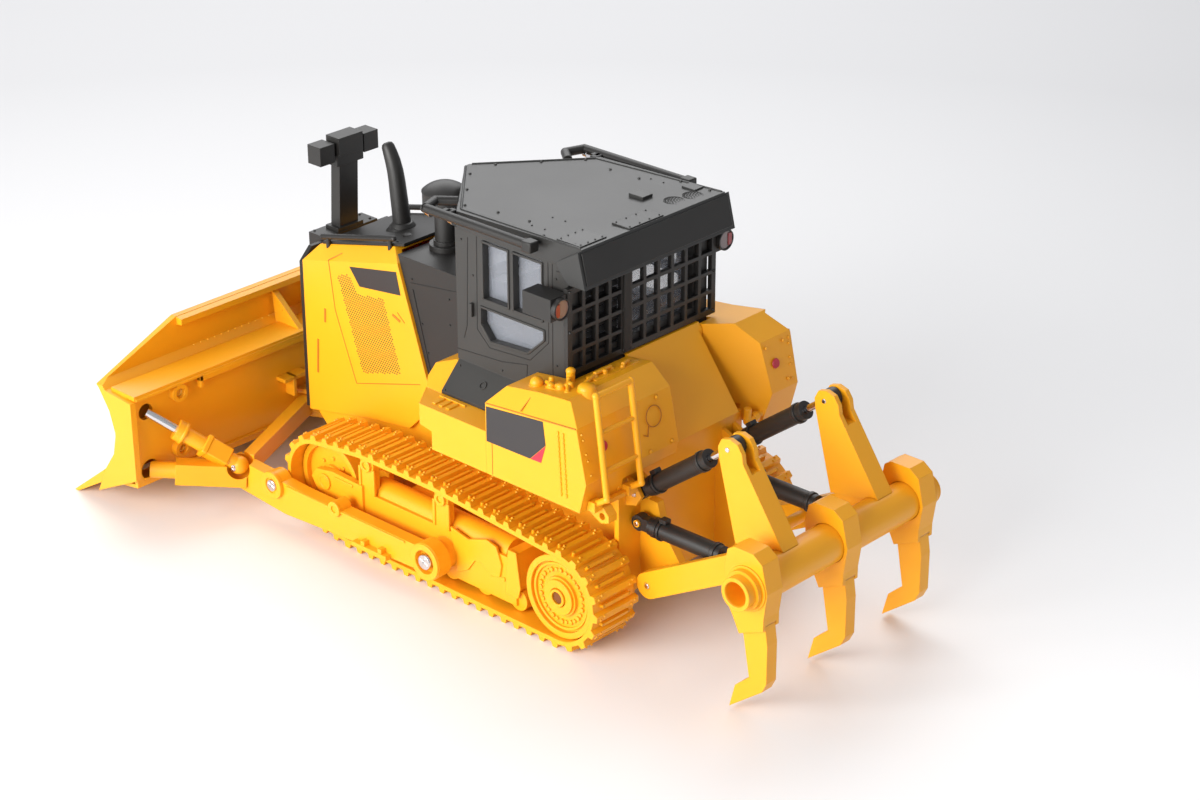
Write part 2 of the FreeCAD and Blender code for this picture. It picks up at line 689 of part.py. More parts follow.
def make_roof():
    low = cab_top() + seat_gap
    body = prism_z(roof_plan(0), low, roof_top_z)
    # the roof falls gently towards its nose
    slope = [(roof_rear_x - 5, roof_top_z), (roof_nose_x + 5, roof_top_z - roof_fall * 1.1),
             (roof_nose_x + 5, roof_top_z + 9), (roof_rear_x - 5, roof_top_z + 9)]
    body = body.cut(prism_y(slope, -60, 60))
    # rear skirt: a slanted panel that hangs behind the lattice, with returns at both sides
    x = roof_rear_x
    skirt = [(x, roof_top_z - 0.3), (x + 5.5, roof_top_z - 1.0), (x + 5.5, low), (x + 1.0, low),
             (x - 1.4, 129.0), (x - 3.2, 129.0)]
    body = body.fuse(prism_y(skirt, -roof_half, roof_half))
    cheek = [(x, roof_top_z - 0.6), (x + 9.5, low + 2), (x + 9.5, low), (x + 5.0, 129.0), (x - 3.2, 129.0)]
    for y0 in (roof_half - 0.5, -skirt_half):
        body = body.fuse(prism_y(cheek, y0, y0 + skirt_half - roof_half + 0.5))
    shapes["cab_roof"] = body.removeSplitter()
    make_roof_rails()


def make_roof_rails():
    """One rail on each side that bends in to the slanted roof edge at its front."""
    y = roof_half + 3.9
    z = roof_top_z - 2.9
    knee = (1.6, y, z)
    turn = (4.2, y - 7.5, z)
    rail = [tube_between((-49.4, y, z), knee, 1.7), Part.makeSphere(1.72, Vector(*knee)),
            tube_between(knee, turn, 1.7), Part.makeSphere(1.72, Vector(*turn)),
            tube_between(turn, (-3.6, roof_half - 10.0, z), 1.7)]
    for x in (-6.5, -46.0):
        rail.append(box(x - 1.6, x + 1.6, roof_half + seat_gap, y, z - 1.6, z + 0.8))
    keep_out = prism_z(roof_plan(seat_gap), 120.0, 160.0)
    shapes["roof_rails"] = pair(join(rail).cut(keep_out))


def lattice_leaf(y0, y1):
    x = cab_rear_x - seat_gap
    leaf = box(x - 1.8, x, y0, y1, lattice_low_z, lattice_high_z)
    pitch = 6.4
    columns = int((y1 - y0 - 3.0) / pitch)
    rows = int((lattice_high_z - lattice_low_z - 3.0) / pitch)
    step_y = (y1 - y0 - 3.0) / columns
    step_z = (lattice_high_z - lattice_low_z - 3.0) / rows
    for i in range(columns):
        for j in range(rows):
            y = y0 + 2.2 + i * step_y
            z = lattice_low_z + 2.2 + j * step_z
            leaf = leaf.cut(box(x - 3, x + 1, y, y + step_y - 1.4, z, z + step_z - 1.4))
    return leaf


def make_cab_fittings():
    # lattice guard on the back of the cab, in two leaves
    shapes["rear_lattice"] = Part.makeCompound([lattice_leaf(-lattice_half, 8.0), lattice_leaf(9.0, lattice_half)])
    # rear work lamps beside the cab
    y = cab_half + 6.4
    body = box(-63.6, -50.5, y - 3.9, y + 3.9, 117.4, 125.6)
    stalk = box(-58.0, -54.0, cab_half + seat_gap, y - 3.0, 119.0, 124.0)
    shapes["rear_lamps"] = pair(body.fuse(stalk))
    shapes["rear_lamp_lenses"] = pair(Part.makeCylinder(3.3, 1.3, Vector(-65.0, y, 121.5), Vector(1, 0, 0)))
    # seat, side consoles with levers, and the dash
    z0 = cab_floor_z + 2
    seat = [box(-44.0, -24.0, -9.0, 9.0, z0 + 10, z0 + 15), box(-40.0, -28.0, -6.0, 6.0, z0, z0 + 11),
            prism_y([(-46.0, z0 + 12), (-40.0, z0 + 12), (-44.0, z0 + 42), (-49.0, z0 + 42)], -8.5, 8.5)]
    pieces = [join(seat)]
    for y in (14.0, -17.0):
        pieces.append(join([box(-42.0, -22.0, y, y + 3.0, z0, z0 + 20.0),
                            tube_between((-24.0, y + 1.5, z0 + 19.0), (-22.0, y + 1.5, z0 + 27.0), 1.0)]))
    dash_z = cab_base_z + cab_wall
    pieces.append(box(-6.0, 0.0, -10.0, 10.0, dash_z, dash_z + 18.0))
    shapes["cab_interior"] = Part.makeCompound(pieces)


# ---------------------------------------------------------------- decks and tanks
def make_decks():
    z1 = deck_top_z
    z0 = z1 - deck_thickness
    rear = cab_rear_x + 0.4
    plan = [(rear, -cab_half), (tank_front_x, -cab_half), (tank_front_x, -deck_half), (deck_front_x, -deck_half),
            (deck_nose_x, -deck_nose_half)]
    plan += [(x, -y) for x, y in reversed(plan)]
    parts = [prism_z(plan, z0, z1)]
    # outer skirts, the slanted front returns and the shoulders below the cab's nose
    skirt = [(deck_front_x, z1), (deck_front_x, 65.5), (deck_front_x - 6.0, 64.5), (deck_front_x - 6.0, deck_skirt_z),
             (tank_front_x, deck_skirt_z), (tank_front_x, z1)]
    front = [(deck_front_x, deck_half), (deck_nose_x, deck_nose_half), (deck_nose_x - wall, deck_nose_half),
             (deck_front_x - wall, deck_half)]
    drop = cab_base_z - 4.4
    side = [(cab_half - 9.0, z0), (cab_half + kick_reach, z0), (cab_half + kick_reach, z1),
            (cab_half - 1.0, drop + 3.0), (cab_half - 9.0, drop + 3.0)]
    slant = [(deck_front_x - 1, cab_base_z - seat_gap), (deck_nose_x + 1, drop), (deck_nose_x + 1, cab_base_z + 9),
             (deck_front_x - 1, cab_base_z + 9)]
    shoulder = prism_x(side, deck_front_x + seat_gap, deck_nose_x).cut(prism_y(slant, 0, 99))
    shoulder = shoulder.common(prism_z(plan, z0, cab_base_z))
    for half in (prism_y(skirt, deck_half - wall, deck_half), prism_z(front, 65.5, z1), shoulder):
        parts += [half, mirrored(half)]
    # walls that carry the deck on the hull
    for y in (-hull_half, hull_half - sheet):
        parts.append(box(rear, deck_nose_x, y, y + sheet, hull_top_z + seat_gap, z0 + 1))
    for x in (rear, deck_nose_x - sheet):
        parts.append(box(x, x + sheet, -hull_half, hull_half, hull_top_z + seat_gap, z0 + 1))
    shapes["deck"] = join(parts)
    make_tanks()
    make_back_panel()
    make_grab_frame()


def tank_solid(inset):
    """Faceted tank whose top climbs rearwards and whose outer shoulder is cut back."""
    side = [(tank_front_x - inset, deck_skirt_z - inset), (tank_front_x - inset, tank_front_top_z - inset),
            (tank_front_x - 6.0, tank_shoulder_z - inset), (tank_rear_x + 12.6, tank_shoulder_z + tank_rise - inset),
            (tank_rear_x + 4.3 + inset, 88.3 - inset), (tank_rear_x + inset, 69.0),
            (tank_rear_x + 3.1 + inset, deck_skirt_z - inset)]
    tank = prism_y(side, 0.0, deck_half - inset)
    edge = [(deck_half + 0.1, tank_front_top_z - 0.5 - inset), (deck_half - 5.2 - inset, tank_shoulder_z + 0.2),
            (deck_half + 9, tank_shoulder_z + 9), (deck_half + 9, tank_front_top_z - 0.5)]
    return tank.cut(swept_x(edge, tank_front_x + 1, tank_rear_x - 1, tank_rise * 1.04))


def tank_room(inner, inset):
    """Plan of a tank: narrow beside the cab and wide behind it."""
    x0 = tank_rear_x - 1
    x1 = tank_front_x + 1
    beside = box(x0, x1, cab_half + 2 * seat_gap + inset, 99, 0, 160)
    behind = box(x0, cab_rear_x - 2 * seat_gap - 2.0 - inset, inner + inset, 99, tank_under_z + inset, 160)
    return beside.fuse(behind)


def make_tanks():
    corner = [(-66.0, 27.0), (-66.0, tank_right_inner_y), (-90.0, 42.0), (-90.0, 27.0)]
    for name, inner in (("tank_left", tank_left_inner_y), ("tank_right", tank_right_inner_y)):
        tank = tank_solid(0).common(tank_room(inner, 0))
        hollow = tank_solid(wall).common(tank_room(inner, wall))
        if name == "tank_right":
            tank = tank.cut(prism_z(corner, 0, 160))
            hollow = hollow.common(box(-80.0, 0, 0, 99, 0, 160))
            hollow = hollow.common(box(-99, 0, 40.0, 99, 0, 160))
        tank = tank.cut(hollow).cut(kick_panel()).removeSplitter()
        shapes[name] = mirrored(tank) if name == "tank_right" else tank


def make_back_panel():
    """Sloping panel between the tanks, folded down to the hull."""
    x = cab_rear_x - 2.4
    fold_x = -85.2
    fold_z = 66.0
    panel = [(x, lattice_low_z - 0.6), (fold_x, fold_z), (-82.3, tank_under_z), (-80.3, tank_under_z),
             (fold_x + 2.2, fold_z), (x + 2.0, lattice_low_z - 0.6)]
    panel = prism_y(panel, -tank_right_inner_y + 0.3, tank_left_inner_y - 0.3)
    corner = prism_z([(-66.0, -27.0), (-66.0, -99), (-90.0, -99), (-90.0, -27.0)], 0, 160)
    shapes["back_panel"] = panel.cut(corner)


def make_grab_frame():
    """Ladder frame on the back of the left tank, standing on a lug with a tie-down hole."""
    r = 1.15
    top = 100.0
    knee = 63.5
    ys = (33.4, 50.4)
    parts = []
    for y in ys:
        parts.append(tube_between((-93.3, y, knee), (-88.4, y, top), r))
        parts.append(tube_between((-93.3, y, knee), (-87.2, y, 59.5), r))
        parts += [Part.makeSphere(r * 1.15, Vector(x, y, z)) for x, z in ((-88.4, top), (-93.3, knee))]
        parts.append(box(-89.6, -86.0, y - 2.0, y + 2.0, 57.8, 61.4))
    parts.append(tube_between((-88.4, ys[0], top), (-88.4, ys[1], top), r))
    for z in (87.0, 73.5):
        x = -93.3 + (z - knee) * (93.3 - 88.4) / (top - knee)
        parts.append(tube_between((x, ys[0], z), (x, ys[1], z), 0.8))
    lug = [(-86.4, 58.6), (-90.2, 58.6), (-92.6, 56.0), (-92.6, 53.6), (-89.0, 52.4), (-84.0, 55.0), (-84.0, 57.0)]
    lug = prism_y(lug, 44.8, 48.8)
    parts.append(lug)
    parts.append(box(-88.6, -86.6, ys[0], ys[1] + 1.0, 57.8, 59.4))
    frame = join(parts).cut(rod_y(-89.6, 55.2, tie_hole_radius, 40, 60))
    shapes["grab_frame"] = frame.cut(shapes["tank_left"]).cut(tank_solid(-seat_gap))


# ---------------------------------------------------------------- blade
def board_profile(offset):
    """Face of the mouldboard, moved back by offset: top, arc and foot."""
    cx = blade_root_x + blade_radius
    cz = blade_mid_z
    radius = blade_radius + offset
    half = math.asin(17.8 / blade_radius)
    arc = []
    for angle in (half, 0.0, -half):
        arc.append((cx - radius * math.cos(angle), cz + radius * math.sin(angle)))
    return arc


def make_blade():
    face = board_profile(0.0)
    back = board_profile(blade_sheet)
    lean = 0.08
    rise = blade_top_z - face[0][1]
    front_top = (face[0][0] + lean * rise, blade_top_z)
    back_top = (front_top[0] - blade_sheet * 1.05, blade_top_z)

    def vec(p):
        return Vector(p[0], -blade_half, p[1])

    edges = [Part.makeLine(vec(front_top), vec(face[0])),
             Part.Arc(vec(face[0]), vec(face[1]), vec(face[2])).toShape(),
             Part.makeLine(vec(face[2]), vec(back[2])),
             Part.Arc(vec(back[2]), vec(back[1]), vec(back[0])).toShape(),
             Part.makeLine(vec(back[0]), vec(back_top)),
             Part.makeLine(vec(back_top), vec(front_top))]
    board = Part.Face(Part.Wire(edges)).extrude(Vector(0, 2 * blade_half, 0))
    # the upper corners slope down to the ends
    for sign in (1, -1):
        corner = [(sign * (blade_half + 5), blade_end_z - 2), (sign * blade_half, blade_end_z),
                  (sign * blade_flat_half, blade_top_z), (sign * (blade_flat_half - 5), blade_top_z + 8),
                  (sign * (blade_half + 5), blade_top_z + 8)]
        if sign < 0:
            corner.reverse()
        board = board.cut(prism_x(corner, 90, 170))
    # end plates
    plate = [(face[0][0] - 1.0, blade_end_z - 1.2), (blade_back_x - 3.0, blade_end_z - 2.5),
             (blade_back_x - 3.0, 17.0), (face[2][0] + 4.5, 5.0), (face[2][0] - 0.5, face[2][1])]
    plate += [(face[1][0] + 2, face[1][1] - 9), (face[1][0] - 0.2, face[1][1]), (face[1][0] + 2.5, face[1][1] + 9)]
    end = prism_y(plate, blade_half - 2.6, blade_half)
    # rolled lip along the top edge
    lip = [(front_top[0] - 1.0, blade_top_z), (front_top[0] - 6.0, blade_top_z - 0.4),
           (front_top[0] - 6.0, blade_top_z - 2.8), (front_top[0] - 2.6, blade_top_z - 3.4)]
    top_lip = prism_y(lip, -blade_flat_half, blade_flat_half)
    flange = box(blade_back_x - 3.0, blade_root_x + 3.0, -blade_half + 2.0, blade_half - 2.0, flange_z, flange_z + 1.8)
    ribs = []
    for y in (8.0, -8.0):
        rib = [(blade_root_x + 5.0, flange_z + 1), (blade_back_x - 2.0, flange_z + 1), (blade_root_x + 6.5, 64.0)]
        ribs.append(prism_y(rib, y - 1.2, y + 1.2))
    flange = flange.cut(prism_y([front_top, face[0], face[1], (150, blade_mid_z), (150, blade_top_z)], -95, 95))
    blade = join([board, end, mirrored(end), top_lip, flange] + ribs)
    shapes["blade"] = blade
    # back panel with screw bosses and the centre lugs
    z0 = 9.0
    z1 = flange_z - seat_gap
    x0 = blade_back_x
    panel = box(x0, x0 + 1.8, -blade_half + 2.8, blade_half - 2.8, z0 + 4, z1)
    foot = prism_y([(x0, z0 + 4.5), (x0, z0 + 3.0), (face[2][0] - 4.6, z0 + 1.0), (face[2][0] - 4.6, z0 + 2.5)],
                   -blade_half + 2.8, blade_half - 2.8)
    parts = [panel, foot]
    bosses = ((70.2, 45.4), (70.8, 22.3), (-70.2, 45.4), (-70.8, 22.3))
    for y, z in bosses:
        parts.append(Part.makeCylinder(3.4, 3.2, Vector(x0 - 2.0, y, z), Vector(1, 0, 0)))
    for z in (15.0, 24.5):
        lug = [(x0 + 0.5, -12.0), (x0 - 10.0, -7.0), (x0 - 10.0, 7.0), (x0 + 0.5, 12.0)]
        parts.append(prism_z(lug, z, z + 2.0))
    back_panel = join(parts)
    for y, z in bosses:
        back_panel = back_panel.cut(Part.makeCylinder(screw_radius, 5, Vector(x0 - 3, y, z), Vector(1, 0, 0)))
    # holes for the frame's four front ends
    for z, radius in ((18.0, 4.0), (42.0, strut_rod_radius + 1.5)):
        for y in (arm_end_y, -arm_end_y):
            back_panel = back_panel.cut(Part.makeCylinder(radius, 6, Vector(x0 - 2, y, z), Vector(1, 0, 0)))
    shapes["blade_back"] = back_panel
    screws = [Part.makeCylinder(screw_radius - 0.1, 2.2, Vector(x0 - 1.7, y, z), Vector(1, 0, 0)) for y, z in bosses]
    shapes["blade_screws"] = Part.makeCompound(screws)
    # cutting edge, a replaceable bevelled strip
    fx, fz = face[2]
    run = edge_tip_x - fx
    edge = [(fx - 3.4, fz + 0.6 - 3.4), (fx + 0.3, fz - 0.3), (edge_tip_x, 0.15), (edge_tip_x - 2.0, 0.0),
            (fx + run * 0.15, fz - 6.6)]
    shapes["cutting_edge"] = prism_y(edge, -blade_half, blade_half).cut(blade)
    make_push_frame()


def make_push_frame():
    y0 = arm_inner_y
    y1 = arm_outer_y
    zc = trunnion_z
    # rear beam with the trunnion eye
    beam = [(trunnion_x, zc - 5.2), (trunnion_x, zc + 4.4), (50.0, zc + 4.0), (knee_x, zc + 5.6),
            (knee_x + 3, zc - 6.0), (62.0, zc - 8.6), (30.0, zc - 6.6)]
    parts = [prism_y(beam, y0, y1), rod_y(trunnion_x, zc, trunnion_radius, y0, y1 + 0.8)]
    # bosses on the arm's outer face
    parts.append(rod_y(67.5, 17.0, 5.2, y0, y1 + 0.9))
    parts.append(rod_y(33.0, 19.0, 3.0, y0, y1 + 0.7))
    # the fork: one leg runs out to the blade's end, one runs in to its centre
    socket_x = blade_back_x - 0.3
    out_a = (knee_x - 7.0, y0 + 3.5, zc - 0.4)
    out_b = (socket_x - 7.0, arm_end_y - 6.2, 17.2)
    parts.append(bar_between(out_a, out_b, 6.4, 8.6))
    parts.append(tube_between((out_b[0] - 3, out_b[1] - 3.4, out_b[2]), (socket_x, arm_end_y, 18.0), 3.2))
    in_a = (knee_x - 6.0, y0 + 1.5, zc + 3.6)
    in_b = (socket_x - 3.2, 8.0, 20.75)
    parts.append(bar_between(in_a, in_b, 5.0, 7.0))
    parts.append(Part.makeCylinder(4.6, 7.0, Vector(socket_x - 4.6, 5.4, 17.2)))
    arm = join(parts)
    arm = arm.cut(rod_y(trunnion_x, zc, trunnion_pin_radius + run_gap, y0 - 1, y1 - 1.2))
    arm = arm.cut(rod_y(trunnion_x, zc, trunnion_radius - 2.6, y1 - 1.2, y1 + 2))
    arm = arm.cut(box(60, 140, -10, 0.2, 0, 60))
    # clevis for the strut
    pin = strut_pin()
    arm = arm.cut(Part.makeSphere(strut_radius + 2.6, Vector(*pin)).cut(box(0, 200, -99, y0, 0, 99)))
    arm = cut(arm, [box(socket_x, 200, 0, 100, 0, 60)])
    # a moulded step on the outside, with two cleats
    step = box(4.0, 22.0, y1 - 0.5, y1 + 2.6, zc - 6.2, zc - 4.4)
    arm = join([arm, step, box(6.5, 8.5, y1 - 0.5, y1 + 2.4, zc - 4.6, zc - 2.6),
                box(15.5, 17.5, y1 - 0.5, y1 + 2.4, zc - 4.6, zc - 2.6)])
    arm_left = max(arm.Solids, key=lambda s: s.Volume)
    shapes["push_arms"] = pair(arm_left)
    # struts: yellow barrel on the arm, bright rod into the blade
    end = (socket_x, arm_end_y, 42.0)
    axis = Vector(*end) - Vector(*pin)
    at = [tuple(Vector(*pin) + axis * t) for t in (0.0, 0.60, 0.68, 0.58)]
    barrel = join([tube_between(at[0], at[1], strut_radius), Part.makeSphere(strut_radius + 0.6, Vector(*pin)),
                   tube_between(at[1], at[2], strut_radius + 1.1)])
    bore = tube_between(at[3], end, strut_rod_radius + run_gap)
    barrel = barrel.cut(bore).cut(arm_left)
    shapes["strut_barrels"] = pair(max(barrel.Solids, key=lambda s: s.Volume))
    shapes["strut_rods"] = pair(tube_between(at[3], end, strut_rod_radius))


def strut_pin():
    return (knee_x - 5.0, arm_outer_y + 0.4, trunnion_z + 3.6)


# ---------------------------------------------------------------- ripper
def make_ripper_mounts():
    """Plate on the hull's back with the forks of the ripper's three front pivots on each side."""
    x0 = hull_rear_x - seat_gap
    back = x0 - sheet
    y0 = cylinder_y - barrel_radius - side_gap - 3.4
    y1 = y0 + 3.2
    arm_inner = ripper_arm_y - ripper_arm_thickness / 2
    plate = [(back + 1, 50.5), (-90.0, 50.0), (-93.0, 40.0), (-100.5, 30.0), (-100.5, 20.5), (-94.0, 17.0),
             (back + 1, 14.0)]
    parts = [prism_y(plate, y0, y1), rod_y(arm_pivot_x, arm_pivot_z, 3.4, y1, arm_inner - side_gap)]
    parts.append(rod_y(arm_pivot_x, arm_pivot_z, pin_radius, y1, ripper_arm_y + ripper_arm_thickness / 2))
    parts.append(rod_y(lift_pivot_x, lift_pivot_z, pin_radius, y1 - 1, cylinder_y + eye_half + 0.8))
    # fork for the upper link
    fork = [(back + 1, 61.0), (back + 1, 49.0), (-87.0, 50.8), (-89.4, 54.7), (-87.0, 58.4)]
    for y in (cylinder_y - eye_half - side_gap - 1.6, cylinder_y + eye_half + side_gap):
        parts.append(prism_y(fork, y, y + 1.6))
    parts.append(rod_y(link_pivot_x, link_pivot_z, pin_radius, cylinder_y - 3.6, cylinder_y + 3.6))
    half = join(parts)
    plate = box(back, x0, -mount_plate_half, mount_plate_half, 14.0, tank_under_z - seat_gap)
    shapes["ripper_mounts"] = join([plate, half, mirrored(half)])


def make_ripper_arm():
    y0 = ripper_arm_y - ripper_arm_thickness / 2
    y1 = ripper_arm_y + ripper_arm_thickness / 2
    a = (arm_pivot_x, ripper_arm_y, arm_pivot_z)
    b = (beam_pivot_x, ripper_arm_y, beam_pivot_z)
    bar = bar_between(a, b, ripper_arm_thickness, 2 * ripper_arm_half_height)
    arm = join([bar, rod_y(arm_pivot_x, arm_pivot_z, ripper_arm_half_height, y0, y1),
                rod_y(beam_pivot_x, beam_pivot_z, ripper_arm_half_height, y0, y1)])
    arm = arm.cut(rod_y(arm_pivot_x, arm_pivot_z, pin_radius + run_gap, y0 - 1, y1 + 1))
    arm = arm.cut(rod_y(beam_pivot_x, beam_pivot_z, pin_radius + run_gap, y0 - 1, y1 + 1))
    # one shaft joins the two arms so that they lift together
    tie_x = arm_pivot_x + (beam_pivot_x - arm_pivot_x) * 0.42
    tie_z = arm_pivot_z + (beam_pivot_z - arm_pivot_z) * 0.42
    shapes["ripper_arms"] = join([arm, mirrored(arm), rod_y(tie_x, tie_z, 2.2, -y0 - 0.5, y0 + 0.5)])


def make_ripper_beam():
    tube = rod_y(beam_x, beam_z, beam_radius, -beam_half, beam_half)
    parts = [tube]
    socket_r = beam_radius - 1.2
    for sign in (1, -1):
        y0 = min(sign * beam_half, sign * (beam_half + 3.0))
        parts.append(rod_y(beam_x, beam_z, socket_r, y0, y0 + 3.0))
    # lugs for the arms and for the lift cylinders
    lug = [(beam_pivot_x + 3.4, beam_pivot_z - 2.4), (beam_pivot_x + 3.4, beam_pivot_z + 2.4),
           (beam_pivot_x + 1.0, beam_pivot_z + 4.4), (beam_x, beam_z + 5.0), (beam_x, beam_z - 5.0),
           (beam_pivot_x + 1.0, beam_pivot_z - 4.4)]
    outer = ripper_arm_y + ripper_arm_thickness / 2 + side_gap
    lower = [(lift_eye_x + 2.6, lift_eye_z - 1.6), (lift_eye_x + 2.6, lift_eye_z + 1.6),
             (beam_x, beam_z + 2.0), (beam_x, beam_z - 6.0), (lift_eye_x, lift_eye_z - 2.8)]
    for sign in (1, -1):
        for y, width, shape in ((outer, 2.6, lug), (cylinder_y - eye_half - side_gap - 1.6, 1.6, lower),
                                (cylinder_y + eye_half + side_gap, 1.6, lower)):
            y0 = y if sign > 0 else -y - width
            parts.append(prism_y(shape, y0, y0 + width))
        y0 = sign * (outer + 1.0)
        y1 = sign * (ripper_arm_y - ripper_arm_thickness / 2)
        parts.append(rod_y(beam_pivot_x, beam_pivot_z, pin_radius, min(y0, y1), max(y0, y1)))
        half = eye_half + side_gap + 0.5
        parts.append(rod_y(lift_eye_x, lift_eye_z, 0.8, sign * cylinder_y - half, sign * cylinder_y + half))
    beam = join(parts)
    for sign in (1, -1):
        y0 = beam_half - 6.0 if sign > 0 else -beam_half - 4.0
        beam = beam.cut(rod_y(beam_x, beam_z, socket_r - 1.5, y0, y0 + 10.0))
        width = ripper_arm_thickness + 2 * side_gap
        clear = rod_y(beam_pivot_x, beam_pivot_z, ripper_arm_half_height + 0.6, sign * ripper_arm_y - width / 2,
                      sign * ripper_arm_y + width / 2)
        clear = clear.cut(rod_y(beam_pivot_x, beam_pivot_z, pin_radius, -60, 60))
        beam = beam.cut(clear)
    shapes["ripper_beam"] = max(beam.Solids, key=lambda s: s.Volume)
    make_collars()
    make_towers()


def make_collars():
    """Three boxes round the beam, each with a pocket that its shank seats in."""
    outline = [(-142.0, 61.0), (-144.6, 62.8), (-152.7, 62.8), (-156.6, 60.0), (-159.0, 50.0), (-157.7, 40.4),
               (-157.7, 36.0), (-147.5, 31.6), (-144.8, 37.0), (-141.6, 42.5), (-140.8, 55.0)]
    collars = []
    for y in (-shank_y, 0.0, shank_y):
        collar = prism_y(outline, y - collar_width / 2, y + collar_width / 2)
        pocket = prism_y(shank_outline(seat_gap), y - shank_thickness / 2 - seat_gap,
                         y + shank_thickness / 2 + seat_gap)
        collars.append(cut(collar, [rod_y(beam_x, beam_z, beam_radius + seat_gap, -60, 60), pocket]))
    shapes["ripper_collars"] = Part.makeCompound(collars)


def make_towers():
    """Two towers on the beam, slotted at the top for the link eyes."""
    tower = [(-131.6, 52.6), (-152.4, 56.0), (-134.2, 82.6), (-133.6, 86.0), (-131.6, 88.9), (-128.2, 89.9),
             (-124.8, 88.9), (-123.3, 85.8), (-123.8, 82.0)]
    body = prism_y(tower, cylinder_y - tower_half, cylinder_y + tower_half)
    body = body.cut(rod_y(beam_x, beam_z, beam_radius + seat_gap, 0, 60))
    body = body.cut(box(-137, -110, cylinder_y - eye_half - side_gap, cylinder_y + eye_half + side_gap, 79.0, 95.0))
    body = body.fuse(rod_y(tower_pin_x, tower_pin_z, 0.8, cylinder_y - tower_half, cylinder_y + tower_half))
    shapes["ripper_towers"] = pair(body)


def shank_outline(grow):
    g = grow
    return [(-147.0 + g, 41.0 + g), (-157.0 - g, 41.0 + g), (-158.6 - g, 30.0), (-158.4, 15.7), (-156.6, 12.0),
            (-142.8, 1.3), (-145.1, 10.3), (-151.0, 15.5), (-147.6 + g, 32.0)]


def make_shanks():
    outline = [(-147.4, 40.6), (-156.8, 40.6), (-158.4, 30.0), (-158.4, 15.7), (-156.6, 12.0), (-142.8, 1.3),
               (-145.1, 10.3), (-151.0, 15.5), (-148.0, 32.0)]
    shanks = [prism_y(outline, y - shank_thickness / 2, y + shank_thickness / 2) for y in (-shank_y, 0.0, shank_y)]
    shapes["ripper_shanks"] = Part.makeCompound(shanks)


def cylinder_set(pivot, eye, barrel_share, eye_hole, name):
    """A black barrel on its front pivot and a bright rod that ends in an eye."""
    y = cylinder_y
    a = Vector(pivot[0], y, pivot[1])
    b = Vector(eye[0], y, eye[1])
    along = (b - a).normalize()
    length = (b - a).Length
    neck = a + along * 3.0
    mouth = a + along * (length * barrel_share)
    collar = a + along * 9.0
    barrel = join([tube_between(tuple(a + along * 5.0), tuple(mouth), barrel_radius),
                   rod_y(pivot[0], pivot[1], 2.9, y - eye_half, y + eye_half),
                   bar_between(tuple(a), tuple(a + along * 7.0), 2 * eye_half, 4.6),
                   tube_between(tuple(neck + along * 3.6), tuple(collar), barrel_radius + 0.35)])
    bore_start = a + along * (length * 0.42)
    barrel = barrel.cut(tube_between(tuple(bore_start), tuple(b), rod_radius + run_gap))
    barrel = barrel.cut(rod_y(pivot[0], pivot[1], pin_radius + run_gap, y - 6, y + 6))
    rod = tube_between(tuple(a + along * (length * 0.62)), tuple(b - along * 1.5), rod_radius)
    head = rod_y(eye[0], eye[1], 2.7, y - eye_half, y + eye_half)
    rod = rod.fuse(head).cut(rod_y(eye[0], eye[1], eye_hole, y - 6, y + 6))
    shapes[name + "_barrels"] = pair(barrel)
    shapes[name + "_rods"] = pair(rod)


def make_ripper():
    make_ripper_mounts()
    make_ripper_arm()
    make_ripper_beam()
    make_shanks()
    hole = 0.8 + open_gap
    cylinder_set((link_pivot_x, link_pivot_z), (tower_pin_x, tower_pin_z), 0.74, hole, "link")
    cylinder_set((lift_pivot_x, lift_pivot_z), (lift_eye_x, lift_eye_z), 0.72, hole, "lift")


# ---------------------------------------------------------------- build and export
make_undercarriage()
make_hull()
make_inside()
make_hood()
make_cab()
make_decks()
make_blade()
make_ripper()

os.makedirs("parts", exist_ok=True)
for name, shape in shapes.items():
    moved = shape.copy()
    moved.translate(Vector(shift_x, 0, 0))
    moved.exportStep("parts/" + name + ".step")
print(len(shapes), "parts")
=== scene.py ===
import math

import bmesh
import bpy
from mathutils import Matrix, Vector


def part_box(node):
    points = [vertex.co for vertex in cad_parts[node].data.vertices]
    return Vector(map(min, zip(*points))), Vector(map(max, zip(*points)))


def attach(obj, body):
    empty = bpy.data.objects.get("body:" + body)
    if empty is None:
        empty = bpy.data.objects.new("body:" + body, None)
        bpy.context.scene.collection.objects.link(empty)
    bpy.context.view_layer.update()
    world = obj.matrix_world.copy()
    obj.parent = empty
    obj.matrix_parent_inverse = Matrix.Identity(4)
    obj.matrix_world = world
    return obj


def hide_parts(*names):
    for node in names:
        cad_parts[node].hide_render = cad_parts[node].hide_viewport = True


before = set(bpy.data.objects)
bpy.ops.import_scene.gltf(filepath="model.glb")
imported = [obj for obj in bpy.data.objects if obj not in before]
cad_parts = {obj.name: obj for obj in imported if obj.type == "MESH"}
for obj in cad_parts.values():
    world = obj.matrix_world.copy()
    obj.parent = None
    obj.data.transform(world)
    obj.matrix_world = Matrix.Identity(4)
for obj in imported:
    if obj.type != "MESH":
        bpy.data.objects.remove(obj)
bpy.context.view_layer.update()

# ---------------------------------------------------------------- tracks
# Each track is a moulded ring of shoes in bright yellow ABS.  A shoe is a broad raised pad
# with bolt heads at both ends, and a slim rib with rounded ends lies in the dip behind it.
MM = 0.001
sprocket_low, sprocket_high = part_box("sprocket_left")
sprocket_x = -73.0
datum = (sprocket_low[0] + sprocket_high[0]) / 2 - sprocket_x * MM


def at(x, y, z):
    """A place given in millimetres from the machine's own datum, in metres in the shared frame."""
    return Vector((datum + x * MM, y * MM, z * MM))


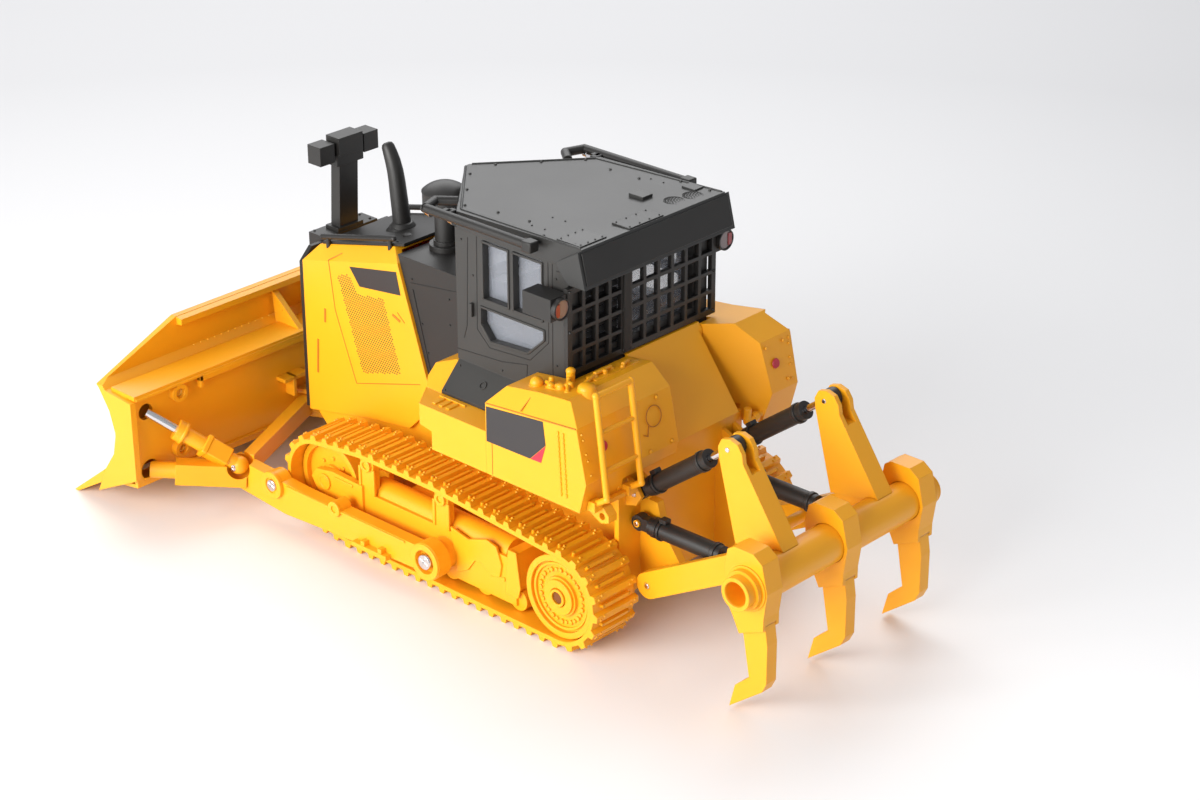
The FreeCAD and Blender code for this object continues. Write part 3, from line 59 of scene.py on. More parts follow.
def set_shader(material, colour, rough, **sockets):
    """Sets a surface's even values, with any further ones by their names."""
    shader = material.node_tree.nodes["Principled BSDF"]
    shader.inputs["Base Color"].default_value = (*colour, 1.0)
    shader.inputs["Roughness"].default_value = rough
    for name, value in sockets.items():
        shader.inputs[name.replace("_", " ")].default_value = value
    return shader


def plastic(name, colour, shade, rough, grain=0.00035, depth=0.25, edge=0.00035, **sockets):
    """Injection-moulded plastic: a fine spark-eroded grain, faint flow marks and softened edges."""
    material = bpy.data.materials.new(name)
    material.use_nodes = True
    nodes = material.node_tree.nodes
    links = material.node_tree.links
    shader = set_shader(material, colour, rough, **sockets)
    place = nodes.new("ShaderNodeTexCoord")
    flow = nodes.new("ShaderNodeTexNoise")
    flow.inputs["Scale"].default_value = 28.0
    flow.inputs["Detail"].default_value = 4.0
    tint = nodes.new("ShaderNodeValToRGB")
    tint.color_ramp.elements[0].position = 0.3
    tint.color_ramp.elements[0].color = (*shade, 1.0)
    tint.color_ramp.elements[1].position = 0.7
    tint.color_ramp.elements[1].color = (*colour, 1.0)
    gloss = nodes.new("ShaderNodeMapRange")
    gloss.inputs["To Min"].default_value = rough - 0.05
    gloss.inputs["To Max"].default_value = rough + 0.07
    texture = nodes.new("ShaderNodeTexNoise")
    texture.inputs["Scale"].default_value = 1.0 / grain
    texture.inputs["Detail"].default_value = 2.0
    rounded = nodes.new("ShaderNodeBevel")
    rounded.samples = 4
    rounded.inputs["Radius"].default_value = edge
    bump = nodes.new("ShaderNodeBump")
    bump.inputs["Strength"].default_value = depth
    bump.inputs["Distance"].default_value = 0.00004
    for noise in (flow, texture):
        links.new(place.outputs["Object"], noise.inputs["Vector"])
    links.new(flow.outputs["Fac"], tint.inputs["Fac"])
    links.new(tint.outputs["Color"], shader.inputs["Base Color"])
    links.new(flow.outputs["Fac"], gloss.inputs["Value"])
    links.new(gloss.outputs["Result"], shader.inputs["Roughness"])
    links.new(texture.outputs["Fac"], bump.inputs["Height"])
    links.new(rounded.outputs["Normal"], bump.inputs["Normal"])
    links.new(bump.outputs["Normal"], shader.inputs["Normal"])
    return material


def dress(material, *names):
    """Gives CAD nodes their finish."""
    for name in names:
        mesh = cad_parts[name].data
        mesh.materials.clear()
        mesh.materials.append(material)


def piece(name, bm, material, body, bevel=0.0, smooth=True):
    """Turns a bmesh into a piece that rides on a body."""
    bmesh.ops.recalc_face_normals(bm, faces=bm.faces)
    mesh = bpy.data.meshes.new(name)
    bm.to_mesh(mesh)
    bm.free()
    mesh.materials.append(material)
    if smooth:
        mesh.shade_smooth()
        mesh.set_sharp_from_angle(angle=math.radians(34))
    thing = bpy.data.objects.new(name, mesh)
    bpy.context.scene.collection.objects.link(thing)
    if bevel:
        soften = thing.modifiers.new("edges", "BEVEL")
        soften.width = bevel * MM
        soften.segments = 2
        soften.limit_method = "ANGLE"
        soften.harden_normals = False
    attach(thing, body)
    return thing


def sides(name):
    """A pair's two names, each with the sign of its side."""
    return ((name + "_left", 1), (name + "_right", -1))


def block(bm, low, high, turn=None):
    """A box between two corners in machine millimetres, turned about its middle."""
    low = at(*low)
    high = at(*high)
    size = high - low
    middle = (low + high) / 2
    spread = Matrix.Diagonal((*[abs(v) for v in size], 1.0))
    bmesh.ops.create_cube(bm, size=1.0, matrix=Matrix.Translation(middle) @ (turn or Matrix()) @ spread)


def stud(bm, centre, axis, radius, height, count=8, top=None):
    """A round stud that stands on centre and grows along axis; sizes in millimetres."""
    axis = Vector(axis).normalized()
    turn = Vector((0, 0, 1)).rotation_difference(axis).to_matrix().to_4x4()
    middle = at(*centre) + axis * (height * MM / 2)
    bmesh.ops.create_cone(bm, cap_ends=True, segments=count, radius1=radius * MM,
                          radius2=(radius if top is None else top) * MM, depth=height * MM,
                          matrix=Matrix.Translation(middle) @ turn)


yellow_lit = (0.90, 0.400, 0.010)
yellow_deep = (0.87, 0.375, 0.009)
yellow = plastic("yellow_moulding", yellow_lit, yellow_deep, 0.36, Specular_IOR_Level=0.45,
                 Subsurface_Weight=0.04, Subsurface_Scale=0.004)
shoe_count = 55
belt_mid_y = 44.0
ground_shoe = 3.5
sprocket_z = 19.5
belt_wheels = ((sprocket_x, sprocket_z, 16.0), (26.0, 35.6, 4.4), (-13.0, 35.6, 4.4), (48.5, 21.5, 15.8),
               (34.0, ground_shoe + 4.2, 4.2), (-50.0, ground_shoe + 4.2, 4.2))


def belt_line(steps=720):
    """The belt's inner line round its wheels: places, outward directions and running length."""
    line = []
    for i in range(steps + 1):
        turn = 2 * math.pi * i / steps
        out = (math.cos(turn), math.sin(turn))
        x, z, r = max(belt_wheels, key=lambda w: w[0] * out[0] + w[1] * out[1] + w[2])
        line.append((x + r * out[0], z + r * out[1], out))
    run = [0.0]
    for a, b in zip(line, line[1:]):
        run.append(run[-1] + math.hypot(b[0] - a[0], b[1] - a[1]))
    return line, run


def belt_place(line, run, distance):
    """The place and the outward direction at one running length of the belt."""
    distance %= run[-1]
    i = next(k for k in range(len(run) - 1) if run[k + 1] >= distance)
    t = (distance - run[i]) / max(run[i + 1] - run[i], 1e-9)
    a, b = line[i], line[i + 1]
    out = [p + (q - p) * t for p, q in zip(a[2], b[2])]
    return a[0] + (b[0] - a[0]) * t, a[1] + (b[1] - a[1]) * t, Vector((out[0], 0, out[1])).normalized()


belt, belt_run = belt_line()
shoe_pitch = belt_run[-1] / shoe_count
dress(yellow, "track_left", "track_right")
for name, side in sides("shoe_details"):
    bm = bmesh.new()
    for i in range(shoe_count):
        x, z, out = belt_place(belt, belt_run, (i + 0.17) * shoe_pitch)
        centre = at(x, side * belt_mid_y, z) + out * 2.35 * MM
        turn = Vector((0, 0, 1)).rotation_difference(out).to_matrix().to_4x4()
        rib = Matrix.Translation(centre) @ turn @ Matrix.Diagonal((1.25 * MM, 13.0 * MM, 1.6 * MM, 1.0))
        bmesh.ops.create_cube(bm, size=1.0, matrix=rib)
        for end in (-1, 1):
            cap = Matrix.Translation(centre + Vector((0, end * 6.5 * MM, 0))) @ turn
            bmesh.ops.create_cone(bm, cap_ends=True, segments=10, radius1=0.625 * MM, radius2=0.625 * MM,
                                  depth=1.6 * MM, matrix=cap)
        x, z, out = belt_place(belt, belt_run, (i + 0.67) * shoe_pitch)
        for y, along in ((8.6, -0.5), (6.9, 0.5), (-8.6, 0.5), (-6.9, -0.5)):
            foot = (x + out.z * along, side * belt_mid_y + y, z - out.x * along)
            stud(bm, [p + q * 3.35 for p, q in zip(foot, out)], out, 0.55, 0.62, 8, 0.35)
    piece(name, bm, yellow, "chassis")

# ---------------------------------------------------------------- wheels and track frames
# The sprockets are dished yellow discs with a ring of bolt heads; the idlers and carrier
# rollers are plain.  The track frame is a tube on a box casting with posts for the carriers.
dress(yellow, *[w + s for w in ("sprocket", "idler", "carrier_front", "carrier_rear", "track_frame")
                for s in ("_left", "_right")])


def ring(bm, centre, axis, outer, inner, height, count=40):
    """A flat ring, spun from its cross-section about axis."""
    axis = Vector(axis).normalized()
    across = axis.orthogonal().normalized()
    middle = at(*centre)
    section = [middle + across * (r * MM) + axis * (h * MM)
               for r, h in ((inner, 0), (outer, 0), (outer, height), (inner, height))]
    verts = [bm.verts.new(p) for p in section]
    edges = [bm.edges.new((verts[i], verts[(i + 1) % 4])) for i in range(4)]
    bmesh.ops.spin(bm, geom=verts + edges, cent=middle, axis=axis, angle=2 * math.pi, steps=count,
                   use_merge=True)


def sheet_of(bm, points, normal, thickness):
    """A flat plate: its outline in machine millimetres and a thickness along normal."""
    verts = [bm.verts.new(at(*p)) for p in points]
    face = bm.faces.new(verts)
    grown = bmesh.ops.extrude_face_region(bm, geom=[face])["geom"]
    moved = [g for g in grown if isinstance(g, bmesh.types.BMVert)]
    bmesh.ops.translate(bm, verts=moved, vec=Vector(normal).normalized() * thickness * MM)


def bar(bm, start, end, width, height, count=4):
    """A straight bar between two places; a round one for more than four sides."""
    a = at(*start)
    b = at(*end)
    turn = Vector((0, 0, 1)).rotation_difference(b - a).to_matrix().to_4x4()
    size = Matrix.Diagonal((width * MM, height * MM, 1.0, 1.0))
    root = 0.5 if count > 4 else math.sqrt(0.5)
    spin = Matrix.Rotation(math.pi / 4, 4, "Z") if count == 4 else Matrix()
    matrix = Matrix.Translation((a + b) / 2) @ turn @ size @ spin
    bmesh.ops.create_cone(bm, cap_ends=True, segments=count, radius1=root, radius2=root,
                          depth=(b - a).length, matrix=matrix)


def sprocket_body(side):
    """The sprocket on one side of the machine."""
    return "sprocket_left" if side > 0 else "sprocket_right"


disc_y = 51.3
hub_y = 52.5
bolt_circle = 9.9
for name, side in sides("sprocket_trim"):
    axis = (0, side, 0)
    bm = bmesh.new()
    ring(bm, (sprocket_x, disc_y * side, sprocket_z), axis, 12.7, 11.7, 0.9)
    ring(bm, (sprocket_x, hub_y * side, sprocket_z), axis, 6.6, 3.6, 1.0)
    ring(bm, (sprocket_x, hub_y * side, sprocket_z), axis, 3.3, 2.3, 1.6)
    for i in range(14):
        turn = 2 * math.pi * i / 14 + 0.2
        spot = (sprocket_x + bolt_circle * math.cos(turn), disc_y * side,
                sprocket_z + bolt_circle * math.sin(turn))
        stud(bm, spot, axis, 0.95, 0.8, 6)
    piece(name, bm, yellow, sprocket_body(side), bevel=0.15)
dark_bore = plastic("bore_shadow", (0.20, 0.055, 0.004), (0.16, 0.045, 0.003), 0.7)
for name, side in sides("sprocket_bore"):
    bm = bmesh.new()
    stud(bm, (sprocket_x, (hub_y + 0.5) * side, sprocket_z), (0, side, 0), 2.25, 0.45, 6)
    piece(name, bm, dark_bore, sprocket_body(side))
for name, side in sides("frame_details"):
    y = 50.5 * side
    axis = (0, side, 0)
    bm = bmesh.new()
    for x in (26.0, -13.0):
        ring(bm, (x, y + 0.5 * side, 35.6), axis, 2.6, 1.3, 0.7, 24)
        block(bm, (x - 4.2, y - 0.4, 24.0), (x - 3.0, y + 0.6 * side, 34.5))
        block(bm, (x + 3.0, y - 0.4, 24.0), (x + 4.2, y + 0.6 * side, 34.5))
    for x in (-44.0, -38.0, 33.0, 22.0, 8.0):
        stud(bm, (x, y - 0.2 * side, 14.5), axis, 1.0, 0.7, 6)
    # curved cast plate between the trunnion and the sprocket guard
    casting = [(-21.0, 9.0), (-26.5, 12.0), (-30.0, 17.0), (-33.5, 17.5), (-38.0, 14.0), (-42.5, 15.0),
               (-43.5, 20.0), (-41.0, 26.5), (-36.0, 27.8), (-27.0, 24.5), (-18.0, 26.5)]
    sheet_of(bm, [(x, 50.2 * side, z) for x, z in casting], (0, side, 0), 1.1)
    sheet_of(bm, [(-45.0, 50.3 * side, 9.6), (-51.4, 50.3 * side, 9.6), (-52.6, 50.3 * side, 14.0),
                  (-50.6, 50.3 * side, 27.6), (-46.6, 50.3 * side, 27.6)], (0, side, 0), 0.9)
    piece(name, bm, yellow, "chassis", bevel=0.2)
for name, side in sides("idler_yoke"):
    bm = bmesh.new()
    y = 51.4 * side
    ring(bm, (48.5, y, 21.5), (0, side, 0), 3.2, 2.0, 0.8, 28)
    block(bm, (33.0, y - 0.2, 24.2), (43.0, y + 0.5 * side, 25.4))
    block(bm, (33.0, y - 0.2, 16.0), (43.0, y + 0.5 * side, 17.2))
    piece(name, bm, yellow, "chassis", bevel=0.15)

# ---------------------------------------------------------------- decks and tanks
# The decks and the two faceted tanks are yellow shells with raised seams, hinge strips,
# rivet rows and moulded pipe fittings.  Plain stickers sit on the outer faces.
dress(yellow, "hull", "deck", "tank_left", "tank_right", "back_panel", "battery_cover", "grab_frame")
side_y = 55.5
sticker_grey = plastic("sticker_grey", (0.030, 0.027, 0.028), (0.026, 0.023, 0.024), 0.40,
                       depth=0.05, edge=0.0001)
sticker_red = plastic("sticker_red", (0.52, 0.020, 0.045), (0.46, 0.018, 0.040), 0.4,
                      depth=0.05, edge=0.0001)
for name, side in sides("tank_sticker"):
    y = side_y * side
    bm = bmesh.new()
    outline = [(-42.0, 83.2), (-68.9, 86.2), (-70.1, 77.7), (-62.6, 70.3), (-41.9, 70.0)]
    sheet_of(bm, [(x, y, z) for x, z in outline], (0, side, 0), 0.12)
    piece(name, bm, sticker_grey, "chassis", smooth=False)
for name, side in sides("tank_sticker_corner"):
    y = side_y * side
    bm = bmesh.new()
    sheet_of(bm, [(-70.1, y, 77.5), (-67.9, y, 70.5), (-62.8, y, 70.3)], (0, side, 0), 0.12)
    piece(name, bm, sticker_red, "chassis", smooth=False)
seam_shade = plastic("seam_shade", (0.56, 0.185, 0.006), (0.50, 0.160, 0.005), 0.5)
for name, side in sides("tank_seams"):
    y = side_y * side
    bm = bmesh.new()
    bar(bm, (-42.0, y, 84.3), (-84.0, y, 88.2), 0.35, 0.35)
    bar(bm, (-44.5, y, 70.0), (-44.5, y, 58.0), 0.25, 0.25)
    bar(bm, (-58.4, y, 86.6), (-60.0, (side_y - 5.3) * side, 92.3), 0.3, 0.3)
    piece(name, bm, seam_shade, "chassis")
for name, side in sides("tank_hinge"):
    y = side_y * side
    bm = bmesh.new()
    for i in range(13):
        z = 85.0 - i * 1.85
        x = -76.3 - i * 0.11
        block(bm, (x, y - 0.2, z - 1.5), (x + 0.7, y + 0.45 * side, z))
        block(bm, (x - 2.4, y - 0.2, z - 1.5), (x - 1.7, y + 0.45 * side, z))
    piece(name, bm, yellow, "chassis", bevel=0.1)


def tank_rear_x(z):
    """The tanks' backs lean backwards towards their feet."""
    return -84.9 - (88.0 - z) * 0.21


lid_bolts = (0.85, 0.6, ((16.8, 87.0), (27.5, 87.0), (23.4, 69.9), (12.5, 70.1)))
plate_bolts = (0.7, 0.5, ((-50.5, 86.0), (-50.5, 72.0), (-41.0, 86.0)))
for name, side in sides("tank_rivets"):
    bm = bmesh.new()
    for i, z in enumerate((86.0, 84.0, 79.0, 76.5, 71.5)):
        stud(bm, (tank_rear_x(z) + 0.3, (53.9 - i * 0.35) * side, z), (-1, 0, 0.2), 0.55, 0.5, 8, 0.3)
    radius, height, places = lid_bolts if side > 0 else plate_bolts
    for y, z in places:
        stud(bm, (tank_rear_x(z), y, z), (-1, 0, 0.2), radius, height, 10, 0.4)
    piece(name, bm, yellow, "chassis")
bm = bmesh.new()
ring(bm, (-86.35, 19.6, 81.3), (-1, 0, 0.21), 3.9, 3.55, 0.18, 36)
bar(bm, (-86.5, 22.4, 78.6), (-87.5, 23.6, 75.3), 0.35, 0.3)
bar(bm, (-87.5, 23.6, 75.3), (-87.4, 25.6, 76.4), 0.35, 0.3)
piece("rear_lid_outline", bm, seam_shade, "chassis")
for name, side in sides("rear_reflector"):
    bm = bmesh.new()
    stud(bm, (-86.75, 45.0 * side, 79.3), (-1, 0, 0.21), 1.9, 0.35, 24, 1.7)
    piece(name, bm, sticker_red, "chassis")


def dome(bm, centre, radius, flat=1.0):
    """A ball, flattened in height by a share."""
    matrix = Matrix.Translation(at(*centre)) @ Matrix.Diagonal((1, 1, flat, 1))
    bmesh.ops.create_uvsphere(bm, u_segments=18, v_segments=10, radius=radius * MM, matrix=matrix)


# fillers, valves and pipe ends on top of the left tank
bm = bmesh.new()
dome(bm, (-56.0, 45.0, 93.0), 2.4, 0.95)
stud(bm, (-56.0, 45.0, 91.0), (0, 0, 1), 2.7, 1.4, 20)
stud(bm, (-75.5, 41.0, 92.6), (0, 0, 1), 3.6, 3.2, 24, 3.2)
dome(bm, (-75.5, 41.0, 95.8), 3.2, 0.55)
stud(bm, (-64.6, 37.4, 93.0), (0, 0, 1), 1.5, 4.2, 16)
dome(bm, (-64.6, 37.4, 97.4), 1.7, 0.8)
tank_top_z = 92.4
valves = ((-60.0, 42.0, 1.1, 2.6), (-62.4, 44.8, 1.5, 2.0), (-66.2, 44.0, 1.8, 2.4),
          (-68.6, 41.6, 1.2, 3.2), (-66.0, 39.8, 0.9, 3.6), (-70.6, 45.4, 1.3, 1.8),
          (-71.0, 37.6, 1.4, 2.2), (-69.6, 31.0, 1.5, 2.6), (-70.4, 26.6, 1.1, 3.4),
          (-69.0, 22.2, 1.4, 2.4), (-71.2, 18.6, 1.0, 2.8), (-70.0, 14.4, 1.5, 2.0))
for x, y, r, h in valves:
    stud(bm, (x, y, tank_top_z), (0, 0, 1), r, h, 12, r * 0.85)
    dome(bm, (x, y, tank_top_z + h), r * 0.8, 0.5)
hoses = (((-58.5, 43.0, 93.4), (-66.2, 44.0, 94.0)), ((-66.2, 44.0, 94.4), (-68.6, 41.6, 95.0)),
         ((-66.0, 39.8, 95.4), (-70.6, 45.4, 94.2)), ((-69.6, 31.0, 95.6), (-69.0, 22.2, 95.4)),
         ((-71.0, 37.6, 94.6), (-69.6, 31.0, 95.2)), ((-71.2, 18.6, 95.6), (-70.0, 14.4, 95.4)))
for start, end in hoses:
    bar(bm, start, end, 1.5, 1.5, 10)
block(bm, (-68.0, 40.0, 92.0), (-61.0, 46.0, 93.6))
block(bm, (-72.4, 11.0, 93.0), (-67.6, 33.0, 94.7))
piece("tank_fittings", bm, yellow, "chassis", bevel=0.12)
# cleats on the front of the decks, and the pipe union beside the ladder's foot
for name, side in sides("deck_cleats"):
    bm = bmesh.new()
    for i in range(3):
        block(bm, (-13.5 - i * 3.4, 47.5 * side, 73.4), (-11.9 - i * 3.4, 52.5 * side, 74.0))
    block(bm, (-22.6, 46.4 * side, 73.4), (-9.8, 47.0 * side, 74.1))
    piece(name, bm, yellow, "chassis", bevel=0.15)
for name, side in sides("pipe_union"):
    bm = bmesh.new()
    bar(bm, (-84.6, 31.5 * side, 60.0), (-84.6, 41.0 * side, 61.2), 2.6, 2.6, 14)
    bar(bm, (-84.6, 35.0 * side, 60.3), (-84.6, 37.4 * side, 60.7), 4.2, 4.2, 8)
    bar(bm, (-84.2, 33.0 * side, 60.0), (-84.2, 33.0 * side, 65.0), 3.0, 3.0, 14)
    piece(name, bm, yellow, "chassis", bevel=0.15)

# ---------------------------------------------------------------- hood
# Yellow side panels carry a punched grille, a plain sticker and pressed creases.  The top
# plate, guard, lamp mast and pre-cleaner are satin black mouldings, and the exhaust stack
# is a curved black pipe on a round foot.
dress(yellow, "hood")
black_lit = (0.017, 0.016, 0.015)
black_deep = (0.013, 0.012, 0.011)
black = plastic("black_moulding", black_lit, black_deep, 0.42, Specular_IOR_Level=0.5)
dress(black, "hood_top", "hood_handrails", "radiator_guard", "lamp_mast", "pre_cleaner", "cowl")
hood_y = 25.0
grille_outline = [(67.2, 91.6), (60.3, 93.6), (55.3, 87.3), (41.4, 89.2), (33.0, 60.6), (55.1, 54.4)]
grille_shade = plastic("grille_shade", (0.085, 0.040, 0.010), (0.070, 0.032, 0.009), 0.6)


def inside(outline, x, z):
    """True where a place is inside an outline in X and Z."""
    hits = False
    for (x0, z0), (x1, z1) in zip(outline, outline[1:] + outline[:1]):
        if (z0 > z) != (z1 > z) and x < (x1 - x0) * (z - z0) / (z1 - z0) + x0:
            hits = not hits
    return hits


hole_pitch = 1.10
hole_reach = ((0.5, 0), (-0.5, 0), (0, 0.5), (0, -0.5))
for name, side in sides("hood_grille_holes"):
    bm = bmesh.new()
    for row in range(46):
        z = 54.0 + row * hole_pitch * 0.82
        for column in range(36):
            x = 31.0 + column * hole_pitch + (row % 2) * hole_pitch / 2
            if all(inside(grille_outline, x + dx, z + dz) for dx, dz in hole_reach):
                stud(bm, (x, (hood_y - 0.15) * side, z), (0, side, 0), 0.36, 0.19, 6)
    piece(name, bm, grille_shade, "chassis", smooth=False)
for name, side in sides("hood_sticker"):
    y = hood_y * side
    bm = bmesh.new()
    sheet_of(bm, [(59.6, y, 96.6), (34.3, y, 101.6), (32.3, y, 92.9), (54.4, y, 90.1)],
             (0, side, 0), 0.12)
    piece(name, bm, sticker_grey, "chassis", smooth=False)
for name, side in sides("hood_creases"):
    y = (hood_y + 0.02) * side
    bm = bmesh.new()
    route = [(71.2, 96.0), (68.6, 76.5), (58.4, 49.5), (23.5, 60.0)]
    for (x0, z0), (x1, z1) in zip(route, route[1:]):
        bar(bm, (x0, y, z0), (x1, y, z1), 0.3, 0.3)
    bar(bm, (71.2, y, 96.0), (66.0, y - 2.4 * side, 99.4), 0.3, 0.3)
    for x0, z0, x1, z1 in ((74.3, 75.4, 74.7, 69.8), (79.2, 61.4, 80.2, 47.3), (37.0, 84.0, 33.0, 82.4)):
        bar(bm, (x0, y, z0), (x1, y, z1), 0.9, 0.5)
    bar(bm, (34.4, y, 85.6), (30.6, y, 82.4), 0.35, 0.3)
    piece(name, bm, seam_shade, "chassis")
# bolts on the top plate and on the guard's platform
bm = bmesh.new()
top_slope = 0.25
for x in (41.0, 48.0, 64.0, 78.0):
    for y in (-17.6, 17.6):
        z = 97.0 + (86.0 - x) * top_slope + 1.1
        stud(bm, (x, y, z - 0.1), (0, 0, 1), 0.6, 0.5, 8, 0.4)
stud(bm, (44.5, 9.5, 108.3), (0, 0, 1), 1.6, 0.7, 20)
for y in (-11.5, 11.5):
    for x in (88.0, 94.0):
        stud(bm, (x, y, 97.35), (0, 0, 1), 0.6, 0.5, 8, 0.4)
piece("hood_bolts", bm, black, "chassis")


def pipe(bm, route, radii, count=28):
    """A round pipe whose rings follow a route, each with its own radius, closed at both ends."""
    places = [at(*p) for p in route]
    last = Matrix()
    bmesh.ops.create_circle(bm, cap_ends=True, segments=count, radius=1.0)
    rim = set(bm.edges)
    for i, (place, radius) in enumerate(zip(places, radii)):
        ahead = places[min(i + 1, len(places) - 1)] - places[max(i - 1, 0)]
        turn = Vector((0, 0, 1)).rotation_difference(ahead).to_matrix().to_4x4()
        matrix = Matrix.Translation(place) @ turn @ Matrix.Diagonal((*[radius * MM] * 3, 1.0))
        if i:
            grown = bmesh.ops.extrude_edge_only(bm, edges=list(rim))["geom"]
            verts = [g for g in grown if isinstance(g, bmesh.types.BMVert)]
            rim = {g for g in grown if isinstance(g, bmesh.types.BMEdge)}
        else:
            verts = list(bm.verts)
        bmesh.ops.transform(bm, matrix=matrix @ last.inverted(), verts=verts)
        last = matrix
    bmesh.ops.edgeloop_fill(bm, edges=list(rim))


stack_route = [(57.0, 0, 104.4), (57.9, 0, 112.0), (58.8, 0, 119.0), (59.4, 0, 123.6), (60.1, 0, 127.2),
               (61.2, 0, 130.8), (62.6, 0, 134.0), (63.6, 0, 136.0), (64.1, 0, 136.9), (64.3, 0, 137.3)]
bm = bmesh.new()
pipe(bm, stack_route, [3.5, 3.35, 3.25, 3.15, 3.05, 2.9, 2.65, 2.4, 1.9, 1.0])
stack_pipe = piece("stack_pipe", bm, black, "chassis")
bm = bmesh.new()
stud(bm, (57.0, 0, 104.2), (0, 0, 1), 6.6, 2.2, 36, 5.0)
stud(bm, (57.0, 0, 106.3), (0, 0, 1), 5.0, 1.8, 36, 3.7)
piece("stack_flange", bm, black, "chassis", bevel=0.4)
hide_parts("exhaust_stack")
cleaner_x = 26.0
cleaner_y = 7.5
bm = bmesh.new()
for i in range(20):
    turn = 2 * math.pi * i / 20
    x = cleaner_x + 7.6 * math.cos(turn)
    y = cleaner_y + 7.6 * math.sin(turn)
    bar(bm, (x, y, 124.2), (x, y, 125.7), 0.8, 0.8, 6)
ring(bm, (cleaner_x, cleaner_y, 124.0), (0, 0, 1), 8.0, 4.0, 0.5, 36)
ring(bm, (cleaner_x, cleaner_y, 110.1), (0, 0, 1), 4.6, 4.0, 1.6, 32)
piece("cleaner_vanes", bm, black, "chassis")
bm = bmesh.new()
for side in (1, -1):
    y = 23.8 * side
    bar(bm, (28.0, y, 98.8), (4.0, y, 102.0), 0.25, 0.25)
    bar(bm, (27.0, y, 96.4), (19.0, y, 66.0), 0.6, 0.5)
    for x, z in ((27.2, 100.4), (22.5, 84.2), (19.8, 73.5), (8.0, 98.0), (8.0, 88.0)):
        stud(bm, (x, y - 0.1 * side, z), (0, side, 0), 0.5, 0.45, 8, 0.3)
piece("cowl_details", bm, black, "chassis")

# ---------------------------------------------------------------- cab
# The cab is a black moulding with raised window rims, pressed panel lines and small bolts.
# Thin clear panes close it, and a seat with two consoles stands inside.
# painted sheen: the cab's black is lighter than the black of the hood and cowl, standing in for the
# light its sides reflect
cab_black_painted_sheen = plastic("cab_moulding_painted_sheen", (0.036, 0.035, 0.033), (0.029, 0.028, 0.026), 0.44,
                    Specular_IOR_Level=0.45)
dress(cab_black_painted_sheen, "cab", "cab_interior")
dress(black, "rear_lattice", "rear_lamps", "roof_rails")
cab_y = 35.5
clear = plastic("clear_pane", (0.50, 0.53, 0.60), (0.44, 0.47, 0.53), 0.14, grain=0.004, depth=0.08,
                Alpha=0.26, Coat_Weight=0.5)
dress(clear, "cab_glass")


def rim(bm, outline, y, side, width, height):
    """A raised strip that follows a closed outline on the cab's side."""
    for (x0, z0), (x1, z1) in zip(outline, outline[1:] + outline[:1]):
        bar(bm, (x0, y, z0), (x1, y, z1), width, height)
        stud(bm, (x0, y - height / 2 * side, z0), (0, side, 0), width / 2, height, 10)


front_window = [(-33.9, 132.0), (-33.9, 110.6), (-21.4, 110.6), (-21.4, 132.0)]
rear_window = [(-50.0, 132.0), (-50.0, 110.6), (-36.0, 110.6), (-36.0, 132.0)]
low_window = [(-20.1, 107.4), (-20.1, 100.8), (-24.7, 95.3), (-42.8, 96.5), (-50.7, 103.8),
              (-50.7, 107.4)]
door_line = [(-18.6, 133.0), (-18.0, 98.2), (-24.0, 92.8), (-43.6, 94.2), (-52.6, 103.4),
             (-52.6, 133.0)]
for name, side in sides("window_rims"):
    y = (cab_y + 0.1) * side
    bm = bmesh.new()
    for outline in (front_window, rear_window, low_window):
        rim(bm, outline, y, side, 0.8, 0.7)
    piece(name, bm, cab_black_painted_sheen, "chassis", bevel=0.12)
line_shade = plastic("panel_line", (0.016, 0.015, 0.014), (0.012, 0.011, 0.010), 0.6)
for name, side in sides("cab_lines"):
    y = cab_y * side
    bm = bmesh.new()
    routes = [door_line,
              [(-14.2, 131.5), (-13.0, 98.3), (-11.4, 93.0)],
              [(-54.6, 133.0), (-54.4, 84.0)],
              [(-7.7, 87.8), (-30.0, 89.4), (-42.3, 92.0), (-41.9, 86.9)],
              [(-56.4, 131.0), (-61.8, 131.0)],
              [(-16.0, 107.8), (-15.9, 105.8)]]
    for route in routes:
        for (x0, z0), (x1, z1) in zip(route, route[1:]):
            bar(bm, (x0, y, z0), (x1, y, z1), 0.32, 0.2)
    piece(name, bm, line_shade, "chassis")
for name, side in sides("cab_bolts"):
    y = (cab_y - 0.1) * side
    bm = bmesh.new()
    for x, z in ((-11.0, 130.0), (-16.4, 118.0), (-56.4, 128.0), (-56.4, 96.0), (-30.0, 86.0),
                 (-60.0, 112.0)):
        stud(bm, (x, y, z), (0, side, 0), 0.5, 0.5, 8, 0.3)
    lean = Vector((0, side * 1.0, 0.93)).normalized()
    for x, drop in ((-10.5, 1.6), (-39.5, 1.6), (-9.8, 8.6), (-39.5, 8.6)):
        stud(bm, (x, (cab_y + drop - 0.1) * side, 84.0 - drop * 1.05), lean, 0.5, 0.5, 8, 0.3)
    ring(bm, (-24.5, (cab_y + 4.0) * side, 79.9), lean, 1.5, 1.2, 0.35, 20)
    block(bm, (-16.6, y, 102.6), (-15.4, y + 1.4 * side, 107.6))
    piece(name, bm, cab_black_painted_sheen, "chassis", bevel=0.1)
